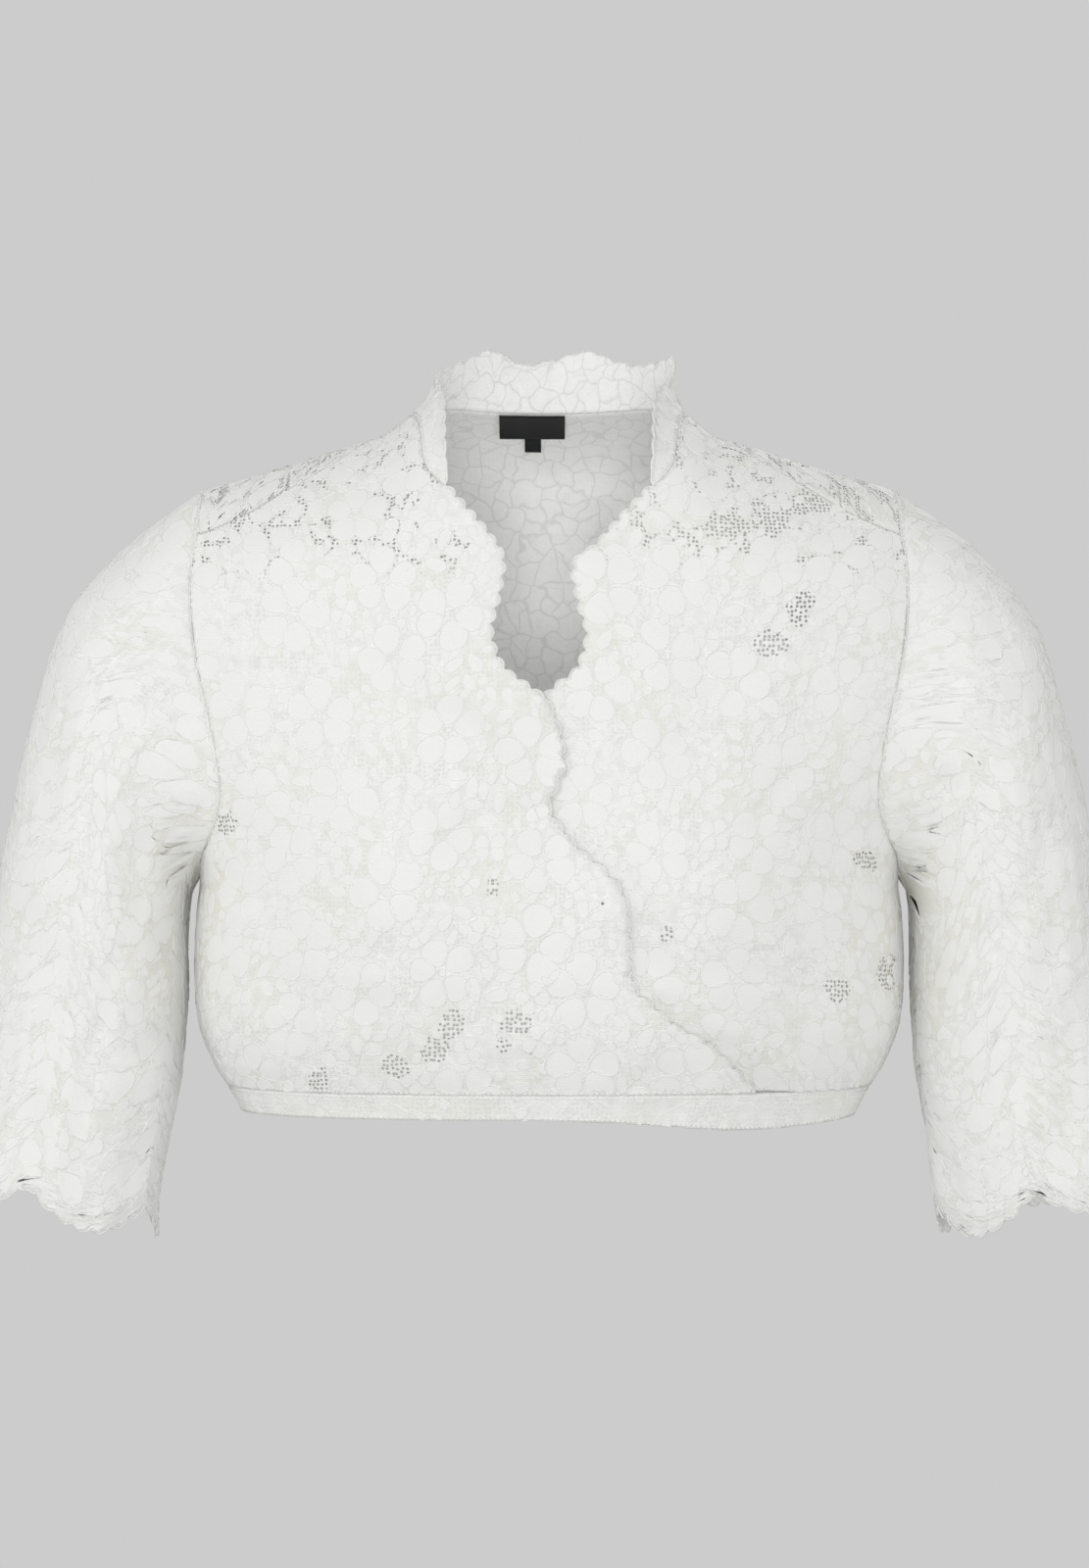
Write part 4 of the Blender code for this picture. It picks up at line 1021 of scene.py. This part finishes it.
def make_sleeve(name, side, front_grid, seed):
    edge, inside = armhole_loop(side, front_grid, over[side], back_whole)
    ring = np.vstack([edge, edge[:1]])
    reach = reach_along(ring)
    want = np.linspace(0, reach[-1], SLEEVE_COLUMNS, endpoint=False)
    inside = np.vstack([inside, inside[:1]])
    edge, inside = (np.column_stack([np.interp(want, reach, p[:, c]) for c in range(3)])
                    for p in (ring, inside))
    top = int(np.argmax(edge[:, 2]))
    length = reach[-1]
    angle = np.where(want <= want[top], math.pi * (1 - want / want[top]),
                     -math.pi * (want - want[top]) / (length - want[top]))
    share = np.linspace(0, 1, SLEEVE_FINE + 1)
    outer_x, outer_z, inner_x, inner_z, depth, forward = np.moveaxis(sleeve_at(share), -1, 0)
    outer = np.column_stack([outer_x, np.zeros_like(share), outer_z])[:, None]
    inner = np.column_stack([inner_x, np.zeros_like(share), inner_z])[:, None]
    centre = (outer + inner) / 2 - np.column_stack([0 * share, forward, 0 * share])[:, None]
    across = (outer - inner)
    down = np.stack([-across[..., 2], 0 * across[..., 2], across[..., 0]], -1)
    down /= np.linalg.norm(down, axis=-1, keepdims=True)
    down *= np.where(down[..., 2:] > 0, -1, 1)
    cos, sin = np.cos(angle)[None, :, None], np.sin(angle)[None, :, None]
    blend = UNDERARM_BLEND + (CAP_BLEND - UNDERARM_BLEND) * (1 + np.cos(angle)[None]) / 2
    settle = eased(share[:, None] / blend)
    grid = centre + across / 2 * cos - np.array([0, 1, 0]) * depth[:, None, None] * sin
    start = edge * [side, 1, 1]
    grid = start[None] * (1 - settle[..., None]) + grid * settle[..., None]
    sink = creased(SLEEVE_CREASES[name], grid[..., 0], grid[..., 2]) * settle * np.abs(sin[..., 0]) ** 0.5
    sink += uneven(grid[..., 0] + 90 * np.cos(angle)[None], grid[..., 2], 30 + side) * settle * 1.2
    grid[..., 1] -= np.copysign(1, sin[..., 0]) * sink
    around = angle[None] + 0 * share[:, None]
    bulge = uneven(around * 60, grid[..., 2], 40 + side) * settle * 1.0
    outward = grid - centre
    outward[..., 1] *= 0.3
    outward /= np.maximum(np.linalg.norm(outward, axis=-1, keepdims=True), 1)
    grid += outward * (bulge * np.abs(cos[..., 0]))[..., None]
    lobe = np.abs(np.sin(HEM_LOBES / 2 * (angle - LOBE_PHASE[name])))[None, :, None]
    grid += down * HEM_LOBE_DEPTH * lobe * eased((share - 1 + HEM_BLEND) / HEM_BLEND)[:, None, None]
    scallop = np.abs(np.sin(math.pi * HEM_SCALLOPS * np.arange(SLEEVE_COLUMNS) / SLEEVE_COLUMNS)) ** 0.8
    grid += down * HEM_SCALLOP_DEPTH * scallop[None, :, None] * eased((share - 0.975) / 0.025)[:, None, None]
    grid *= [side, 1, 1]
    centre = centre * [side, 1, 1]
    out = edge - inside
    out /= np.linalg.norm(out, axis=1, keepdims=True)
    along = np.roll(edge, -1, axis=0) - np.roll(edge, 1, axis=0)
    square = np.cross(out, along)
    square /= np.maximum(np.linalg.norm(square, axis=1, keepdims=True), 1e-9)
    square *= np.copysign(1, (square[:, :2] * edge[:, :2]).sum(1))[:, None]
    leave = grid[4] - edge
    leave /= np.linalg.norm(leave, axis=1, keepdims=True)
    folded = ((1 - (out * leave).sum(1)) / 2)[:, None]
    grid[0] = edge + out * SEAM_GAP / 2 * (1 - folded) + square * UNDERARM_GAP * folded
    for j in (1, 2, 3):
        grid[j] += (grid[0] - edge) * (1 - j / 4)
    closed_ring = np.concatenate([grid, grid[:, :1]], axis=1)
    v = np.cumsum(np.linalg.norm(np.diff(closed_ring, axis=0), axis=2), axis=0)
    v = np.pad(v, ((1, 0), (0, 0)))
    v = v[-1:] - v
    steps = np.linalg.norm(np.diff(closed_ring, axis=1), axis=2)
    steps = np.sqrt(np.maximum(steps**2 - np.diff(v, axis=1) ** 2, (0.35 * steps) ** 2))
    u = np.pad(np.cumsum(steps, axis=1), ((0, 0), (1, 0)))
    u -= u[:, top:top + 1]
    flat = np.stack([u, v], -1)
    border = np.clip((share - 0.985) / 0.015 * 2, 0, 1)[:, None] * np.ones(SLEEVE_COLUMNS)
    marks = {"border": border, "cream": creamy(grid[..., [0, 2]])}
    shell, layer = cloth("lace_sleeve_" + name, grid, flat, LACE_WALL, lace, centre, closed=True, marks=marks)
    rows = scattered(flat[:, :-1].reshape(-1, 2), flat[-1], seed, edge_gap=0.5)
    rows += stitched(flat[-1], flat[-2], EDGE_STITCH, 0.6) + stitched(flat[0], flat[1], SEAM_STITCH, 1.8)
    work = lace_work("lace_work_sleeve_" + name, layer, rows, seed)
    finish_piece(shell, [work], "sleeve_" + name)


make_sleeve("right", -1, right_whole, 31)
make_sleeve("left", 1, left_whole, 32)

# Collar
# A standing collar of the lace, sewn round the neck. Its free edge keeps the lace's scallops.
COLLAR_TOP = [
    (-54, -70, -30), (-55.5, -66, -13), (-56, -52, 2), (-57, -36, 14), (-60, -16, 23), (-62, 2, 29),
    (-58, 22, 34),
    (-46, 42, 41), (-31, 56, 48), (-14, 62, 40.5), (3, 63, 43.5), (22, 61, 48), (36, 54, 42), (49, 41, 38),
    (62, 20, 39), (68, 3, 39), (66, -9, 27), (59, -22, 20), (57, -36, 14), (56, -52, 2), (55.5, -66, -13),
    (54, -70, -30),
]
COLLAR_COLUMNS, COLLAR_ROWS, COLLAR_SCALLOPS = 240, 16, 34
# depth of the lobes, how far the collar bows in at mid height, and the width of its border
LOBE_DEEP, COLLAR_BOW, COLLAR_BORDER = 1.6, 2.2, 5
collar_from = len(front_rows) - COLLAR_FINE * COLLAR_CAD_ROWS - 1
base = np.vstack([right_whole[collar_from:, 0],
                  back_whole[-1, middle - NECK_COLUMNS + 1:middle + NECK_COLUMNS],
                  left_whole[:collar_from - 1:-1, 0]])
reach = reach_along(base)
want = np.linspace(0, reach[-1], COLLAR_COLUMNS + 1)
base = np.column_stack([np.interp(want, reach, base[:, c]) for c in range(3)])
top_line = smooth_line(COLLAR_TOP, 40)
reach = reach_along(top_line)
top_line = np.column_stack([np.interp(np.linspace(0, reach[-1], COLLAR_COLUMNS + 1), reach, top_line[:, c])
                            for c in range(3)])
rise = top_line - base
tall = np.linalg.norm(rise, axis=1, keepdims=True)
lobes = np.abs(np.sin(math.pi * COLLAR_SCALLOPS * np.linspace(0, 1, COLLAR_COLUMNS + 1)))
top_line += rise / tall * LOBE_DEEP * (lobes * np.minimum(tall[:, 0] / 10, 1))[:, None]
out = base * [1, 1, 0]
out /= np.linalg.norm(out, axis=1, keepdims=True)
share = np.linspace(0, 1, COLLAR_ROWS + 1)[:, None, None]
collar_grid = base[None] * (1 - share) + top_line[None] * share
collar_grid -= out[None] * COLLAR_BOW * np.sin(math.pi * share) * np.minimum(tall / 25, 1)[None]
collar_grid = drawn_in(collar_grid, False, False, True, False)
u = np.broadcast_to(reach_along(base)[None], collar_grid.shape[:2])
v = share[..., 0] * tall[:, 0][None]
collar_flat = np.stack([u - u.max() / 2, v], -1)
border = np.clip(v - tall[:, 0][None] + COLLAR_BORDER, 0, 1)
collar, layer = cloth("lace_collar", collar_grid, collar_flat, LACE_WALL, lace, np.zeros(3),
                      marks={"border": border})
rows = scattered(collar_flat.reshape(-1, 2), collar_flat[-1], 41, edge_gap=0.3)
rows += stitched(collar_flat[-1], collar_flat[-2], EDGE_STITCH, 0.5)
rows += stitched(collar_flat[0], collar_flat[1], SEAM_STITCH, 1.4)
collar_work = lace_work("lace_work_collar", layer, rows, 41)
finish_piece(collar, [collar_work], "collar")

# Hem band
# A narrow straight band of the same lace, folded and sewn on round the hem, front and back.
BAND_BOTTOM, BAND_DIP, BAND_DIP_AT, BAND_DIP_WIDE = -366.5, 6.0, 112.0, 62.0
BAND_COLUMNS, BAND_ROWS = 160, 8
for name, back in (("front", False), ("back", True)):
    angle = np.linspace(-math.pi / 2, math.pi / 2, BAND_COLUMNS + 1)
    x = unturn(angle, np.full(angle.shape, BAND_TOP))
    dip = BAND_DIP * np.exp(-((x - BAND_DIP_AT) / BAND_DIP_WIDE) ** 2)
    bottom = BAND_BOTTOM - dip * (not back)
    share = np.linspace(0, 1, BAND_ROWS + 1)[:, None]
    level = bottom[None] * (1 - share) + BAND_TOP * share
    grid = drawn_in(on_body(unturn(angle[None] + 0 * level, level), level, back), True, True, False, True)
    u = np.broadcast_to(reach_along(grid[0])[None], level.shape)
    band_flat = np.stack([u - u.max() / 2, level - BAND_TOP], -1)
    band, layer = cloth("lace_hem_" + name, grid, band_flat, LACE_WALL, lace, CORE,
                        marks={"border": np.ones(level.shape)})
    rows = scattered(band_flat.reshape(-1, 2), band_flat[0], 51 + back)
    rows = [row for row in rows if row[2] > 1]
    rows += stitched(band_flat[0], band_flat[1], SEAM_STITCH, 1.2)
    rows += stitched(band_flat[-1], band_flat[-2], SEAM_STITCH, 1.4)
    work = lace_work("lace_work_hem_" + name, layer, rows, 51 + back)
    finish_piece(band, [work], "hem_" + name)

# Neck label and size tab
# A woven black satin label, sewn inside the back of the neck, with a small tab hanging below it.
# Both are bare.
LABEL_WALL, LABEL_OFF, RIPPLE_OFF = 0.5, 1.9, 0.25
labels = plain_material("label_satin", (0.006, 0.007, 0.007), 0.55)
n = Nodes(labels.node_tree)
cut = n.add("ShaderNodeUVMap", {"uv_map": "UVMap"}).outputs[0]
weave = n.add("ShaderNodeTexWave", {"wave_type": "BANDS", "bands_direction": "Y"}, Vector=cut, Scale=900.0,
              Distortion=0.4).outputs["Fac"]
n.cloth_finish(None, weave, 0.2, 0.0002)
labels.node_tree.nodes["Principled BSDF"].inputs["Specular IOR Level"].default_value = 0.25
for name, node, left, right, top, bottom in (("neck_label", "label", -27.5, 9.0, 14.4, 3.4),
                                             ("woven_size_tab", "size_tab", -13.5, -4.5, 3.0, -3.6)):
    x = np.linspace(left, right, 40)
    z = np.linspace(bottom, top, 16)
    spots = np.stack(np.meshgrid(x, z), -1)
    grid = on_back(spots[..., 0], spots[..., 1])
    grid -= outward_normals(grid, CORE) * LABEL_OFF
    ripple = 0.25 * np.sin(spots[..., 0] / 3.1) + 0.2 * np.sin(spots[..., 0] / 5.7 + spots[..., 1] / 3)
    grid[..., 1] -= ripple + RIPPLE_OFF
    piece, layer = cloth(name, grid, spots, LABEL_WALL, labels, CORE)
    bpy.data.objects.remove(layer)
    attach(piece, "root")
    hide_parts(node)
